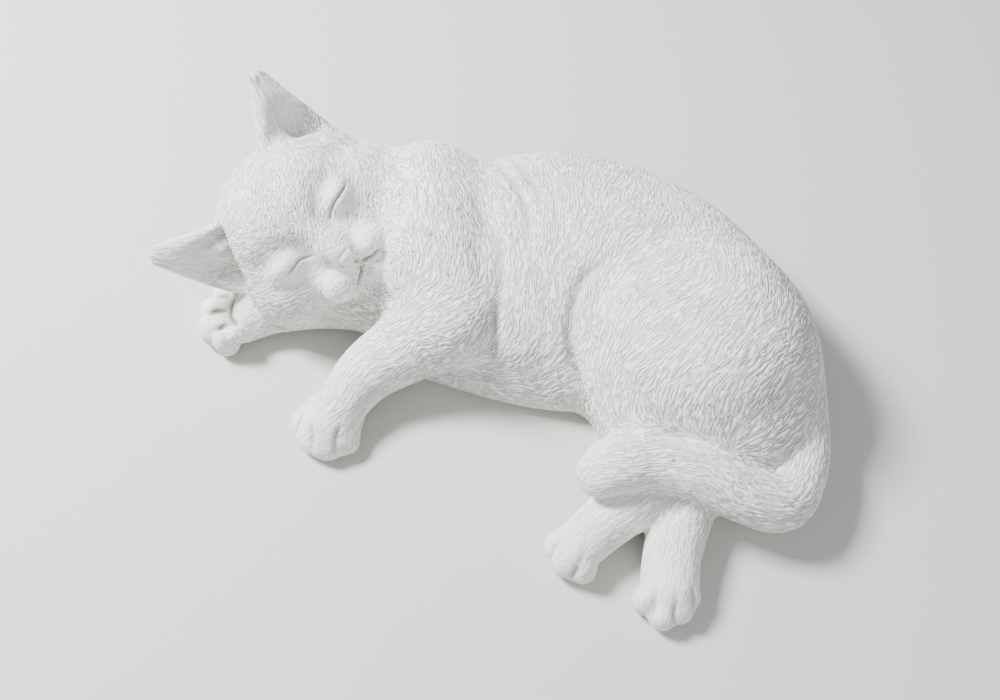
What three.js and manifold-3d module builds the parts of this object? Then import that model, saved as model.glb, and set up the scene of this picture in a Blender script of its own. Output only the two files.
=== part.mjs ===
// A sleeping cat, cast in one piece in white cement. It lies on its right side on a flat
// underside: head towards -X, back towards +Y, belly and feet towards -Y, millimetres, +Z up.
//
// The form is built up the way a modeller works clay. Balls and tapering limbs are pressed
// together with soft joins, the ears are scooped out, and folds are drawn along the surface.
// All of it is kept as one field, the distance to the surface at each point of a fine grid,
// which is then turned into one closed skin, thinned to long facets on the smooth flanks and
// short ones on the face and feet, and cut flat below.

import * as THREE from 'three';
import { mergeVertices } from 'three/addons/utils/BufferGeometryUtils.js';
import Module from 'manifold-3d';

// Fineness of the model.
const GRID = 2.5;              // spacing of the points that the form is worked on
const FACETS = 8600;           // triangles left in the skin before the cut
const STEPS = 6;               // straight steps between two stations of a limb
const REACH = 14;              // how far outside a shape its soft join is worked
const SLAB = 3;                // what is modelled below the ground, and then cut off
const FAR = 60;                // the distance that empty space starts with
const SETTLING_ROUNDS = 4;     // how often a point is moved to come to rest on the surface
const SKIN_OVER_FILL = 0.1;    // how far below the skin a filled point lies, in grid steps

// Limits on thinning the skin.
const EVENNESS = 8e-6;         // how strongly long edges are kept out
const FLATTEST = 1e-4;         // below this a corner has no one best place
const SHARPEST_TURN = 0.3;     // cosine of the furthest that a facet may turn in one step
const THINNEST = 0.03;         // smallest area of a facet, over its longest edge squared

// The space that the clay may fill.
const ROOM_LOW = new THREE.Vector3(-230, -175, -8);
const ROOM_HIGH = new THREE.Vector3(215, 165, 140);

// Stations of the body and limbs: x, y and z of the centre, then the radius.
const TORSO_FLATTENING = 0.66; // thickness from side to side, over depth from spine to belly
const TORSO = [
  [-40, 75, 38, 58], [-4, 66, 38, 64], [20, 63, 37, 77], [40, 62, 37, 79], [64, 55, 37, 79],
  [84, 46, 38, 75], [104, 30, 38, 70], [119, 12, 38, 66], [130, -10, 38, 58], [138, -28, 36, 50],
];
const BELLY = [[-46, 16, 10, 18], [0, 4, 13, 22], [30, -2, 14, 23], [60, -6, 16, 22]];
const NECK_FLATTENING = 0.8;
const NECK = [[-112, 98, 46, 36], [-80, 92, 44, 42], [-44, 82, 46, 50]];
const THROAT = [[-112, 52, 20, 19], [-78, 46, 20, 22], [-44, 32, 22, 28]];
const THIGH = [
  [124, 18, 54, 46], [98, 12, 55, 42], [76, 3, 51, 33], [77, -22, 46, 29], [86, -46, 36, 27],
];
const BELOW_HAUNCH = [
  [70, -6, 10, 24], [84, -34, 10, 24], [108, -52, 10, 24], [146, -44, 12, 24],
];
const UPPER_ARM = [[-44, 104, 58, 30], [-38, 66, 64, 33], [-30, 36, 59, 30], [-27, 17, 52, 28]];
const FOREARM = [
  [-27, 17, 50, 28], [-52, 8, 36, 23], [-80, -6, 24, 18.5], [-95, -23, 18, 15.5],
  [-104, -34, 15, 15],
];
const PILLOW_ARM = [[-70, 54, 18, 18], [-118, 47, 16, 15.5], [-150, 40, 16, 14]];
const UPPER_HIND_FOOT = [
  [110, -56, 26, 22], [84, -82, 22, 18], [60, -100, 17, 15.5], [42, -115, 14, 14.5],
];
const LOWER_HIND_FOOT = [
  [116, -70, 18, 19], [105, -95, 15, 17.5], [98, -117, 14, 16.5], [95, -136, 11, 16.5],
];
const TAIL = [
  [172, 2, 34, 22], [176, -34, 30, 17.5], [173, -66, 28, 17], [160, -90, 28, 17.5],
  [137, -88, 35, 17], [112, -79, 42, 16], [86, -74, 45, 15.5], [67, -75, 45, 17],
  [56, -80, 43, 13.5],
];
const BELOW_TAIL = [[174, -30, 10, 17], [170, -64, 10, 16], [156, -84, 9, 16], [130, -76, 12, 15]];

// Round masses: the centre, then the three radii.
const SHOULDER = [[-44, 103, 48], [36, 36, 36]];
const NAPE = [[-92, 104, 58], [34, 32, 30]];
const HAUNCH = [[120, -1, 52], [64, 60, 48]];
const HAUNCH_TURN = -20;       // degrees about +Z
const FORE_PAW = [[-105, -37, 10], [20, 20, 13]];
const PILLOW_PAW = [[-166, 39, 14], [21, 19, 13]];
const PALM_PAD = [[-160, 38, 22], [8, 13, 8]];

// Toes: x and y of each, then its radius. Each set has the height of its middle.
const FORE_TOES_HEIGHT = 8;
const PILLOW_TOES_HEIGHT = 11;
const UPPER_HIND_TOES_HEIGHT = 10;
const LOWER_HIND_TOES_HEIGHT = 9;
const TOE_CROWN = 2;           // how much taller than its middle's height a toe is
const TOE_PAD = [6, -1, 22];   // a pad's middle from its toe's in x and y, and its height
const TOE_PAD_RADII = [7.5, 5.5, 5];
const FORE_TOES = [[-94, -45, 9], [-104, -48, 9.5], [-114, -43, 9.5], [-119, -33, 8.5]];
const PILLOW_TOES = [[-178, 53, 8.5], [-184, 42, 9.5], [-183, 30, 9.5], [-174, 22, 8.5]];
const UPPER_HIND_TOES = [[34, -112, 9], [38, -121, 9], [47, -125, 8]];
const LOWER_HIND_TOES = [[81, -143, 7.5], [90.5, -150.5, 8.5], [100, -147, 8.5], [106, -141, 6.5]];

// Folds in the coat: points near the surface, which the fold settles on.
const HAUNCH_FOLD = [[66, 36, 86], [48, 26, 78], [42, 8, 60], [44, -10, 50], [48, -34, 35]];
const ELBOW_FOLD = [[-6, 62, 84], [1, 40, 78], [3, 22, 60], [0, 8, 48]];
const SHOULDER_FOLD = [[-2, 124, 60], [4, 102, 78], [11, 84, 84], [16, 66, 86], [17, 44, 84]];
const NECK_FOLD = [[-58, 112, 75], [-52, 94, 80], [-50, 76, 80]];
// The folds with the width and depth of each.
const FOLDS = [
  [HAUNCH_FOLD, 4, 2.5], [ELBOW_FOLD, 4, 2.5], [SHOULDER_FOLD, 5, 1.8], [NECK_FOLD, 5, 1.5],
];

// The head has a frame of its own: left to the cat's left ear, up to its crown, forward out of
// its face. It is turned a little to the sky.
const HEAD_CENTRE = new THREE.Vector3(-124, 77, 62);
const HEAD_LEFT = new THREE.Vector3(0.575, 0.722, 0.384);
const HEAD_UP = new THREE.Vector3(-0.724, 0.229, 0.652);

// Masses of the head in that frame: the centre, the radii and the softness of the join.
const HEAD_MIDDLE = [
  [[0, 4, -6], [49, 44, 43], 8],         // skull
  [[46, -28, -14], [24, 24, 24], 10],    // ruff below the upper cheek
  [[0, 18, 15], [33, 21, 20], 8],        // forehead
  [[0, -12, 17], [38, 27, 21], 8],       // face between the eyes and the muzzle
  [[0, -30, 22], [31, 21, 25], 7],       // muzzle
  [[5, -42.5, 36], [12.5, 8.5, 11], 2],  // chin
];
const HEAD_PAIRS = [
  [[32, -18, 2], [27, 27, 28], 12],      // cheek
  [[14, -30.5, 36.5], [14, 11.5, 13], 2.5], // whisker pad
  [[23, 0, 26.5], [13, 9.5, 10.5], 7],   // closed eye
];
const NOSE_BRIDGE = [[0, 12, 25, 17], [0, -4, 34, 12.5], [0, -15, 43, 9.5], [0, -21, 47, 7]];
// The hollow that makes the flat front of the nose: its centre and radii.
const NOSE_LEATHER = [[0, -32.5, 63], [15.5, 14, 14]];

// Hollows of the face, the same on both sides: the line, its width and its depth.
const FACE_FOLDS = [
  [[[12, 4, 43], [13, -3, 43]], 5, 2],             // inner corner of the eye
  [[[17, 8, 38], [25, 9, 34], [33, 8, 27]], 4.5, 1.3], // above the eye
];
const MOUTH = [
  [[2, -31, 49], [5, -33, 48], [9, -35, 48], [14, -36, 47]],
  [[2, -31, 49], [-1, -35, 47], [-5, -37, 46], [-12, -38, 42]],
];
const MOUTH_WIDTH = 2;
const MOUTH_DEPTH = 1.4;

// Ears in the head's frame: base, middle and tip of the blade, and the tip's radius. The upper
// ear stands a little taller than the one near the ground.
const EARS = [
  { side: 1, base: [35, 19, -10], middle: [44, 40, -8], tip: [55.5, 67, -6], tipRadius: 6.5 },
  { side: -1, base: [-34, 12, -10], middle: [-48, 32, -8], tip: [-62, 54, -6], tipRadius: 8 },
];
const EAR_BASE_RADIUS = 27;
const EAR_MIDDLE_RADIUS = 18;
const EAR_FLATTENING = 0.42;
const EAR_OPENING_OUTWARD = 0.25; // how far the opening turns out from straight ahead
const CUP_OFFSET = 9;              // the scoop's centre, in front of the blade
const CUP_TIP_OFFSET = 8.1;
const CUP_FLATTENING = 0.5;
const CUP_BASE_RADIUS = 23;
const CUP_MIDDLE_RADIUS = 16;
const CUP_START = 10;              // along the blade from its base
const CUP_END = -3;                // and from its tip
const EAR_RIM = 2;                 // left round the tip
// Long hair in the ears: the curtain on the side towards the crown, and the coat that laps over
// the base.
const EAR_HAIR = [
  [[47, 57, -8, 3], [38, 45, -9, 6], [31, 35, -9, 9]],
  [[20, 33, -4, 8], [28, 28, -3, 9], [36, 22, -4, 9], [45, 15, -8, 9], [54, 8, -13, 8]],
  [[18, 28, 2, 10], [26, 24, 3, 11], [35, 16, 2, 11], [44, 9, -3, 10], [50, 2, -9, 10]],
  [[-56, 42, -8, 3], [-46, 34, -10, 6], [-37, 27, -11, 9]],
];

// Softness of the joins: how far from the line where two masses meet the fillet starts.
const JOIN = {
  torso: 6, belly: 16, shoulder: 12, nape: 12, neck: 14, throat: 12, haunch: 16, thigh: 7,
  belowHaunch: 10, arm: 8, forePaw: 8, foreToes: 2.5, pillowPaw: 6, pillowToes: 2, toePads: 1.5,
  palmPad: 2, upperHindFoot: 6, upperHindToes: 3, lowerHindFoot: 5, lowerHindToes: 2.5, tail: 4,
  belowTail: 10, noseBridge: 7, noseLeather: 1, ear: 5, cup: 3, earHair: 7,
};

const CEMENT = new THREE.MeshStandardMaterial({ color: 0xe4e5e1, roughness: 0.88, metalness: 0 });

// Straight steps along the smooth curve through the stations, each with its radius.
function stepsAlong(stations) {
  const centres = stations.map(([x, y, z]) => new THREE.Vector3(x, y, z));
  const radii = stations.map(([, , , radius]) => new THREE.Vector3(radius, 0, 0));
  const line = new THREE.CatmullRomCurve3(centres, false, 'catmullrom', 0.5);
  const taper = new THREE.CatmullRomCurve3(radii, false, 'catmullrom', 0.5);
  const count = STEPS * (stations.length - 1);
  const points = line.getPoints(count);
  const sizes = taper.getPoints(count).map((point) => point.x);
  return points.map((point, i) => ({ point, radius: sizes[i] }));
}

// An egg of three radii, turned by a matrix whose rows are its own axes.
function ball([x, y, z], radii, turn = new THREE.Matrix3()) {
  const [xx, xy, xz, yx, yy, yz, zx, zy, zz] = turn.clone().transpose().elements;
  const [a, b, c] = radii;
  const reach = Math.max(a, b, c) + REACH;
  const centre = new THREE.Vector3(x, y, z);
  const size = new THREE.Vector3().setScalar(2 * reach);
  const box = new THREE.Box3().setFromCenterAndSize(centre, size);
  const distance = (px, py, pz) => {
    const u = ((px - x) * xx + (py - y) * xy + (pz - z) * xz) / a;
    const v = ((px - x) * yx + (py - y) * yy + (pz - z) * yz) / b;
    const w = ((px - x) * zx + (py - y) * zy + (pz - z) * zz) / c;
    const near = Math.hypot(u, v, w);
    const slope = Math.max(Math.hypot(u / a, v / b, w / c), 1e-6);
    return (near * (near - 1)) / slope;
  };
  return { box, distance };
}

// A tapering limb along its stations, thinner by flattening along the flat direction.
function limb(stations, flattening = 1, flat = new THREE.Vector3(0, 0, 1)) {
  const steps = stepsAlong(stations);
  const box = new THREE.Box3();
  for (const { point, radius } of steps) {
    box.expandByPoint(point.clone().subScalar(radius + REACH));
    box.expandByPoint(point.clone().addScalar(radius + REACH));
  }
  const stretch = 1 / flattening - 1;
  const spans = steps.slice(1).map(({ point, radius }, i) => {
    const from = steps[i];
    const along = point.clone().sub(from.point);
    along.addScaledVector(flat, along.dot(flat) * stretch);
    return {
      from: from.point,
      along,
      length2: Math.max(along.lengthSq(), 1e-6),
      r0: from.radius,
      dr: radius - from.radius,
    };
  });
  const distance = (px, py, pz) => {
    let best = Infinity;
    for (const { from, along, length2, r0, dr } of spans) {
      let x = px - from.x;
      let y = py - from.y;
      let z = pz - from.z;
      const extra = (x * flat.x + y * flat.y + z * flat.z) * stretch;
      x += extra * flat.x;
      y += extra * flat.y;
      z += extra * flat.z;
      const t = THREE.MathUtils.clamp((x * along.x + y * along.y + z * along.z) / length2, 0, 1);
      const d = Math.hypot(x - t * along.x, y - t * along.y, z - t * along.z) - r0 - t * dr;
      if (d < best) best = d;
    }
    return best;
  };
  return { box, distance };
}

// The smaller of two distances, rounded where they meet.
function softMin(a, b, softness) {
  const h = Math.max(softness - Math.abs(a - b), 0);
  return Math.min(a, b) - (h * h) / (4 * softness);
}

// The corners of a cell are numbered 0 to 7, with one bit for each axis. A pattern has a bit for
// each corner inside the clay. It is clear if its inside corners hang together along the cell's
// edges, and its outside corners too.
function hangsTogether(pattern) {
  if (!pattern) return true;
  let reached = pattern & -pattern;
  for (let grown = 0; grown !== reached;) {
    grown = reached;
    for (let corner = 0; corner < 8; corner += 1) {
      if (!((grown >> corner) & 1)) continue;
      for (const bit of [1, 2, 4]) reached |= (1 << (corner ^ bit)) & pattern;
    }
  }
  return reached === pattern;
}

const ALL_CORNERS = 255;
const IS_CLEAR = Array.from({ length: ALL_CORNERS + 1 }, (_, pattern) => (
  hangsTogether(pattern) && hangsTogether(ALL_CORNERS ^ pattern)
));

// The clay: a grid of distances to the surface, below zero inside.
class Clay {
  constructor(low, high, step) {
    this.low = low;
    this.step = step;
    const size = high.clone().sub(low).divideScalar(step).ceil().addScalar(1);
    this.nx = size.x;
    this.ny = size.y;
    this.nz = size.z;
    this.field = new Float32Array(this.nx * this.ny * this.nz).fill(FAR);
  }

  index(i, j, k) {
    return (i * this.ny + j) * this.nz + k;
  }

  // Calls change(place in the grid, x, y, z) for each grid point inside the box.
  visit(box, change) {
    const first = box.min.clone().sub(this.low).divideScalar(this.step).ceil();
    const last = box.max.clone().sub(this.low).divideScalar(this.step).floor();
    first.max(new THREE.Vector3());
    last.min(new THREE.Vector3(this.nx - 1, this.ny - 1, this.nz - 1));
    for (let i = first.x; i <= last.x; i += 1) {
      const x = this.low.x + i * this.step;
      for (let j = first.y; j <= last.y; j += 1) {
        const y = this.low.y + j * this.step;
        for (let k = first.z; k <= last.z; k += 1) {
          change(this.index(i, j, k), x, y, this.low.z + k * this.step);
        }
      }
    }
  }

  press({ box, distance }, softness) {
    this.visit(box, (at, x, y, z) => {
      this.field[at] = softMin(this.field[at], distance(x, y, z), softness);
    });
  }

  scoop({ box, distance }, softness) {
    this.visit(box, (at, x, y, z) => {
      this.field[at] = -softMin(-this.field[at], distance(x, y, z), softness);
    });
  }

  // The distance at any point, blended from the eight grid points round it.
  sample(point) {
    const x = (point.x - this.low.x) / this.step;
    const y = (point.y - this.low.y) / this.step;
    const z = (point.z - this.low.z) / this.step;
    const [i, j, k] = [Math.floor(x), Math.floor(y), Math.floor(z)];
    let sum = 0;
    for (let corner = 0; corner < 8; corner += 1) {
      const [a, b, c] = [corner & 1, (corner >> 1) & 1, corner >> 2];
      const share = Math.abs(1 - a - x + i) * Math.abs(1 - b - y + j) * Math.abs(1 - c - z + k);
      sum += share * this.field[this.index(i + a, j + b, k + c)];
    }
    return sum;
  }

  // Moves a point on to the surface, down the slope of the field.
  settle([x, y, z]) {
    const point = new THREE.Vector3(x, y, z);
    for (let round = 0; round < SETTLING_ROUNDS; round += 1) {
      const slope = new THREE.Vector3(...['x', 'y', 'z'].map((axis) => {
        const ahead = point.clone();
        const behind = point.clone();
        ahead[axis] += this.step / 2;
        behind[axis] -= this.step / 2;
        return (this.sample(ahead) - this.sample(behind)) / this.step;
      }));
      point.addScaledVector(slope, -this.sample(point) / Math.max(slope.lengthSq(), 1e-3));
    }
    return point.toArray();
  }

  // Draws a soft fold along a line of points, settled on the surface.
  fold(points, width, depth) {
    const line = limb(points.map((point) => [...this.settle(point), 0]));
    line.box.expandByScalar(3 * width - REACH);
    this.visit(line.box, (at, x, y, z) => {
      this.field[at] += depth * Math.exp(-((line.distance(x, y, z) / width) ** 2));
    });
  }

  // Fills the few cells where two surfaces would touch, so that the skin meets itself nowhere.
  fillPinches() {
    const { ny, nz, field } = this;
    const offsets = [];
    for (let c = 0; c < 8; c += 1) offsets.push(this.index(c & 1, (c >> 1) & 1, c >> 2));
    let filled = true;
    while (filled) {
      filled = false;
      for (let at = 0; at < field.length - this.index(1, 1, 1); at += 1) {
        if (at % nz === nz - 1 || Math.floor(at / nz) % ny === ny - 1) continue;
        let pattern = 0;
        for (let c = 0; c < 8; c += 1) {
          if (field[at + offsets[c]] < 0) pattern |= 1 << c;
        }
        if (IS_CLEAR[pattern]) continue;
        const outside = offsets.map((offset) => at + offset).filter((place) => field[place] >= 0);
        outside.sort((a, b) => field[a] - field[b]);
        field[outside[0]] = -SKIN_OVER_FILL * this.step;
        filled = true;
      }
    }
  }

  // One closed skin: a point in each cell that the surface passes through, drawn to the middle
  // of its crossings, and two triangles across each grid edge that the surface cuts.
  skin() {
    const { nx, ny, nz, field } = this;
    const cells = new Int32Array(nx * ny * nz).fill(-1);
    const strides = [ny * nz, nz, 1];
    const positions = [];
    for (let i = 0; i < nx - 1; i += 1) {
      for (let j = 0; j < ny - 1; j += 1) {
        for (let k = 0; k < nz - 1; k += 1) {
          const at = this.index(i, j, k);
          const middle = this.crossing(at, strides);
          if (!middle) continue;
          cells[at] = positions.length / 3;
          positions.push(
            this.low.x + (i + middle[0]) * this.step,
            this.low.y + (j + middle[1]) * this.step,
            this.low.z + (k + middle[2]) * this.step,
          );
        }
      }
    }
    const triangles = [];
    for (let at = 0; at < field.length; at += 1) {
      if (cells[at] < 0) continue;
      for (let axis = 0; axis < 3; axis += 1) {
        const u = strides[(axis + 1) % 3];
        const v = strides[(axis + 2) % 3];
        const inside = field[at] < 0;
        if (inside === field[at + strides[axis]] < 0) continue;
        const ring = [cells[at], cells[at - u], cells[at - u - v], cells[at - v]];
        if (!inside) ring.reverse();
        triangles.push(ring[0], ring[1], ring[2], ring[0], ring[2], ring[3]);
      }
    }
    return { positions, triangles };
  }

  // The mean of the surface's crossings on a cell's twelve edges, or null if it has none.
  crossing(at, strides) {
    const sum = [0, 0, 0];
    let count = 0;
    for (let axis = 0; axis < 3; axis += 1) {
      const [p, q] = [(axis + 1) % 3, (axis + 2) % 3];
      for (let side = 0; side < 4; side += 1) {
        const [onP, onQ] = [side & 1, side >> 1];
        const start = at + onP * strides[p] + onQ * strides[q];
        const a = this.field[start];
        const b = this.field[start + strides[axis]];
        if (a < 0 === b < 0) continue;
        sum[axis] += a / (a - b);
        sum[p] += onP;
        sum[q] += onQ;
        count += 1;
      }
    }
    return count ? sum.map((value) => value / count) : null;
  }
}

// The plane through three points, as the ten numbers of its squared distance, times its area.
function planeError(a, b, c) {
  const normal = new THREE.Vector3().crossVectors(b.clone().sub(a), c.clone().sub(a));
  const area = normal.length() / 2;
  normal.normalize();
  const { x, y, z } = normal;
  const w = -normal.dot(a);
  const squares = [x * x, x * y, x * z, x * w, y * y, y * z, y * w, z * z, z * w, w * w];
  return squares.map((value) => value * area);
}

// Thins a closed skin. Each step draws together the ends of the edge whose loss changes the
// surface least, judged by the planes that met there, and keeps the skin closed and unfolded.
class Thinner {
  constructor({ positions, triangles }) {
    this.points = [];
    for (let i = 0; i < positions.length; i += 3) {
      this.points.push(new THREE.Vector3(positions[i], positions[i + 1], positions[i + 2]));
    }
    this.faces = [];
    this.round = this.points.map(() => new Set());
    this.errors = this.points.map(() => new Array(10).fill(0));
    this.changes = this.points.map(() => 0);
    this.heap = [];
    for (let i = 0; i < triangles.length; i += 3) {
      const corners = triangles.slice(i, i + 3);
      const error = planeError(...corners.map((corner) => this.points[corner]));
      for (const corner of corners) {
        this.round[corner].add(this.faces.length);
        this.errors[corner] = this.errors[corner].map((value, n) => value + error[n]);
      }
      this.faces.push(corners);
    }
    for (const [a, b, c] of this.faces) {
      for (const [p, q] of [[a, b], [b, c], [c, a]]) {
        if (p < q) this.offer(p, q);
      }
    }
  }

  // Works out where an edge's ends would meet, and at what cost, and queues it.
  offer(p, q) {
    const sum = this.errors[p].map((value, n) => value + this.errors[q][n]);
    const [xx, xy, xz, xw, yy, yz, yw, zz, zw, ww] = sum;
    const from = this.points[p];
    const to = this.points[q];
    const length = from.distanceTo(to);
    const middle = from.clone().lerp(to, 0.5);
    const choices = [middle, from.clone(), to.clone()];
    const matrix = new THREE.Matrix3().set(xx, xy, xz, xy, yy, yz, xz, yz, zz);
    if (matrix.determinant() > FLATTEST * (xx + yy + zz) ** 3) {
      const best = new THREE.Vector3(-xw, -yw, -zw).applyMatrix3(matrix.invert());
      if (best.distanceTo(middle) < length) choices.push(best);
    }
    let chosen = null;
    for (const place of choices) {
      const { x, y, z } = place;
      const bend = xx * x * x + yy * y * y + zz * z * z + ww
        + 2 * (xy * x * y + xz * x * z + yz * y * z + xw * x + yw * y + zw * z);
      if (!chosen || bend < chosen.cost) chosen = { cost: bend, place };
    }
    chosen.cost += EVENNESS * length ** 4;
    Object.assign(chosen, { p, q, stamp: this.changes[p] + this.changes[q] });
    this.queue(chosen);
  }

  queue(item) {
    const { heap } = this;
    let at = heap.push(item) - 1;
    while (at > 0) {
      const parent = (at - 1) >> 1;
      if (heap[parent].cost <= item.cost) break;
      heap[at] = heap[parent];
      at = parent;
    }
    heap[at] = item;
  }

  cheapest() {
    const { heap } = this;
    const top = heap[0];
    const last = heap.pop();
    if (!heap.length) return top;
    let at = 0;
    for (;;) {
      let child = 2 * at + 1;
      if (child >= heap.length) break;
      if (child + 1 < heap.length && heap[child + 1].cost < heap[child].cost) child += 1;
      if (heap[child].cost >= last.cost) break;
      heap[at] = heap[child];
      at = child;
    }
    heap[at] = last;
    return top;
  }

  neighbours(p) {
    const near = new Set();
    for (const face of this.round[p]) {
      for (const corner of this.faces[face]) near.add(corner);
    }
    near.delete(p);
    return near;
  }

  // True if the faces round p, apart from those that touch q too, keep facing the same way.
  staysUnfolded(p, q, place) {
    for (const face of this.round[p]) {
      const corners = this.faces[face];
      if (corners.includes(q)) continue;
      const places = corners.map((corner) => this.points[corner]);
      const before = new THREE.Triangle(...places);
      places[corners.indexOf(p)] = place;
      const after = new THREE.Triangle(...places);
      const normal = after.getNormal(new THREE.Vector3());
      const turn = before.getNormal(new THREE.Vector3()).dot(normal);
      const { a, b, c } = after;
      const longest = Math.max(a.distanceTo(b), b.distanceTo(c), c.distanceTo(a));
      if (turn < SHARPEST_TURN || after.getArea() < THINNEST * longest ** 2) return false;
    }
    return true;
  }

  join({ p, q, place }) {
    for (const face of this.round[q]) {
      const corners = this.faces[face];
      if (corners.includes(p)) {
        for (const corner of corners) this.round[corner].delete(face);
        this.faces[face] = null;
        this.left -= 1;
      } else {
        corners[corners.indexOf(q)] = p;
        this.round[p].add(face);
      }
    }
    this.points[p] = place;
    this.errors[p] = this.errors[p].map((value, n) => value + this.errors[q][n]);
    this.points[q] = null;
    this.changes[p] += 1;
    this.changes[q] += 1;
    for (const near of this.neighbours(p)) {
      this.offer(Math.min(p, near), Math.max(p, near));
    }
  }

  run(wanted) {
    this.left = this.faces.length;
    while (this.left > wanted && this.heap.length) {
      const item = this.cheapest();
      const { p, q, place, stamp } = item;
      if (!this.points[p] || !this.points[q]) continue;
      if (stamp !== this.changes[p] + this.changes[q]) continue;
      const around = this.neighbours(q);
      const shared = [...this.neighbours(p)].filter((corner) => around.has(corner));
      if (shared.length !== 2) continue;
      if (this.staysUnfolded(p, q, place) && this.staysUnfolded(q, p, place)) {
        this.join(item);
      }
    }
    return this.result();
  }

  result() {
    const numbers = new Map();
    const positions = [];
    this.points.forEach((point, i) => {
      if (!point) return;
      numbers.set(i, numbers.size);
      positions.push(...point.toArray());
    });
    const triangles = this.faces.filter(Boolean).flat().map((corner) => numbers.get(corner));
    return { positions, triangles };
  }
}

// The head's own frame, as a matrix from (left, up, forward) to the model.
function headFrame() {
  const left = HEAD_LEFT.clone().normalize();
  const forward = left.clone().cross(HEAD_UP).normalize();
  const up = forward.clone().cross(left);
  return new THREE.Matrix4().makeBasis(left, up, forward).setPosition(HEAD_CENTRE);
}

const frame = headFrame();
const headAxes = new THREE.Matrix3().setFromMatrix4(frame).transpose();

// Stations given in the head's frame, in the model's. What follows the place stays as it is.
function onHead(stations) {
  return stations.map(([l, u, f, ...rest]) => {
    const place = new THREE.Vector3(l, u, f).applyMatrix4(frame);
    return [...place, ...rest];
  });
}

function mirrored(stations, side) {
  return stations.map(([l, ...rest]) => [side * l, ...rest]);
}

function headBall([centre], radii) {
  return ball(centre, radii, headAxes);
}

function pressBody(clay) {
  const turn = THREE.MathUtils.degToRad(HAUNCH_TURN);
  const turned = new THREE.Matrix3().setFromMatrix4(new THREE.Matrix4().makeRotationZ(turn));
  clay.press(limb(TORSO, TORSO_FLATTENING), JOIN.torso);
  clay.press(limb(BELLY), JOIN.belly);
  clay.press(ball(...SHOULDER), JOIN.shoulder);
  clay.press(ball(...NAPE), JOIN.nape);
  clay.press(limb(NECK, NECK_FLATTENING), JOIN.neck);
  clay.press(limb(THROAT), JOIN.throat);
  clay.press(ball(...HAUNCH, turned.transpose()), JOIN.haunch);
  clay.press(limb(THIGH), JOIN.thigh);
  clay.press(limb(BELOW_HAUNCH), JOIN.belowHaunch);
}

// Toes side by side, each an egg that reaches the ground.
function pressToes(clay, toes, height, softness) {
  for (const [x, y, radius] of toes) {
    clay.press(ball([x, y, height], [radius, radius, height + TOE_CROWN]), softness);
  }
}

function pressPillowPaw(clay) {
  clay.press(limb(PILLOW_ARM), JOIN.arm);
  clay.press(ball(...PILLOW_PAW), JOIN.pillowPaw);
  pressToes(clay, PILLOW_TOES, PILLOW_TOES_HEIGHT, JOIN.pillowToes);
  const [alongX, alongY, height] = TOE_PAD;
  for (const [x, y] of PILLOW_TOES) {
    clay.press(ball([x + alongX, y + alongY, height], TOE_PAD_RADII), JOIN.toePads);
  }
  clay.press(ball(...PALM_PAD), JOIN.palmPad);
}

function pressLimbs(clay) {
  clay.press(limb(UPPER_ARM), JOIN.arm);
  clay.press(limb(FOREARM), JOIN.arm);
  clay.press(ball(...FORE_PAW), JOIN.forePaw);
  pressToes(clay, FORE_TOES, FORE_TOES_HEIGHT, JOIN.foreToes);
  pressPillowPaw(clay);
  clay.press(limb(UPPER_HIND_FOOT), JOIN.upperHindFoot);
  pressToes(clay, UPPER_HIND_TOES, UPPER_HIND_TOES_HEIGHT, JOIN.upperHindToes);
  clay.press(limb(LOWER_HIND_FOOT), JOIN.lowerHindFoot);
  pressToes(clay, LOWER_HIND_TOES, LOWER_HIND_TOES_HEIGHT, JOIN.lowerHindToes);
  clay.press(limb(TAIL), JOIN.tail);
  clay.press(limb(BELOW_TAIL), JOIN.belowTail);
}

function pressHead(clay) {
  for (const [centre, radii, softness] of HEAD_MIDDLE) {
    clay.press(headBall(onHead([centre]), radii), softness);
  }
  for (const [centre, radii, softness] of HEAD_PAIRS) {
    for (const side of [-1, 1]) {
      clay.press(headBall(onHead(mirrored([centre], side)), radii), softness);
    }
  }
  clay.press(limb(onHead(NOSE_BRIDGE)), JOIN.noseBridge);
  const [hollow, hollowRadii] = NOSE_LEATHER;
  clay.scoop(headBall(onHead([hollow]), hollowRadii), JOIN.noseLeather);
  for (const [line, width, depth] of FACE_FOLDS) {
    for (const side of [-1, 1]) clay.fold(onHead(mirrored(line, side)), width, depth);
  }
  for (const line of MOUTH) clay.fold(onHead(line), MOUTH_WIDTH, MOUTH_DEPTH);
}

// A flat tapering blade, rounded behind and scooped out in front.
function pressEar(clay, { side, base, middle, tip, tipRadius }) {
  const [root, bend, end] = [base, middle, tip].map((place) => new THREE.Vector3(...place));
  const axis = end.clone().sub(root).normalize();
  const front = new THREE.Vector3(side * EAR_OPENING_OUTWARD, 0, 1);
  front.addScaledVector(axis, -front.dot(axis)).normalize();
  const flat = front.clone().transformDirection(frame);
  const blade = [[...root, EAR_BASE_RADIUS], [...bend, EAR_MIDDLE_RADIUS], [...end, tipRadius]];
  clay.press(limb(onHead(blade), EAR_FLATTENING, flat), JOIN.ear);
  root.addScaledVector(front, CUP_OFFSET).addScaledVector(axis, CUP_START);
  bend.addScaledVector(front, CUP_OFFSET);
  end.addScaledVector(front, CUP_TIP_OFFSET).addScaledVector(axis, CUP_END);
  const cup = [
    [...root, CUP_BASE_RADIUS], [...bend, CUP_MIDDLE_RADIUS], [...end, tipRadius - EAR_RIM],
  ];
  clay.scoop(limb(onHead(cup), CUP_FLATTENING, flat), JOIN.cup);
}

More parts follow.
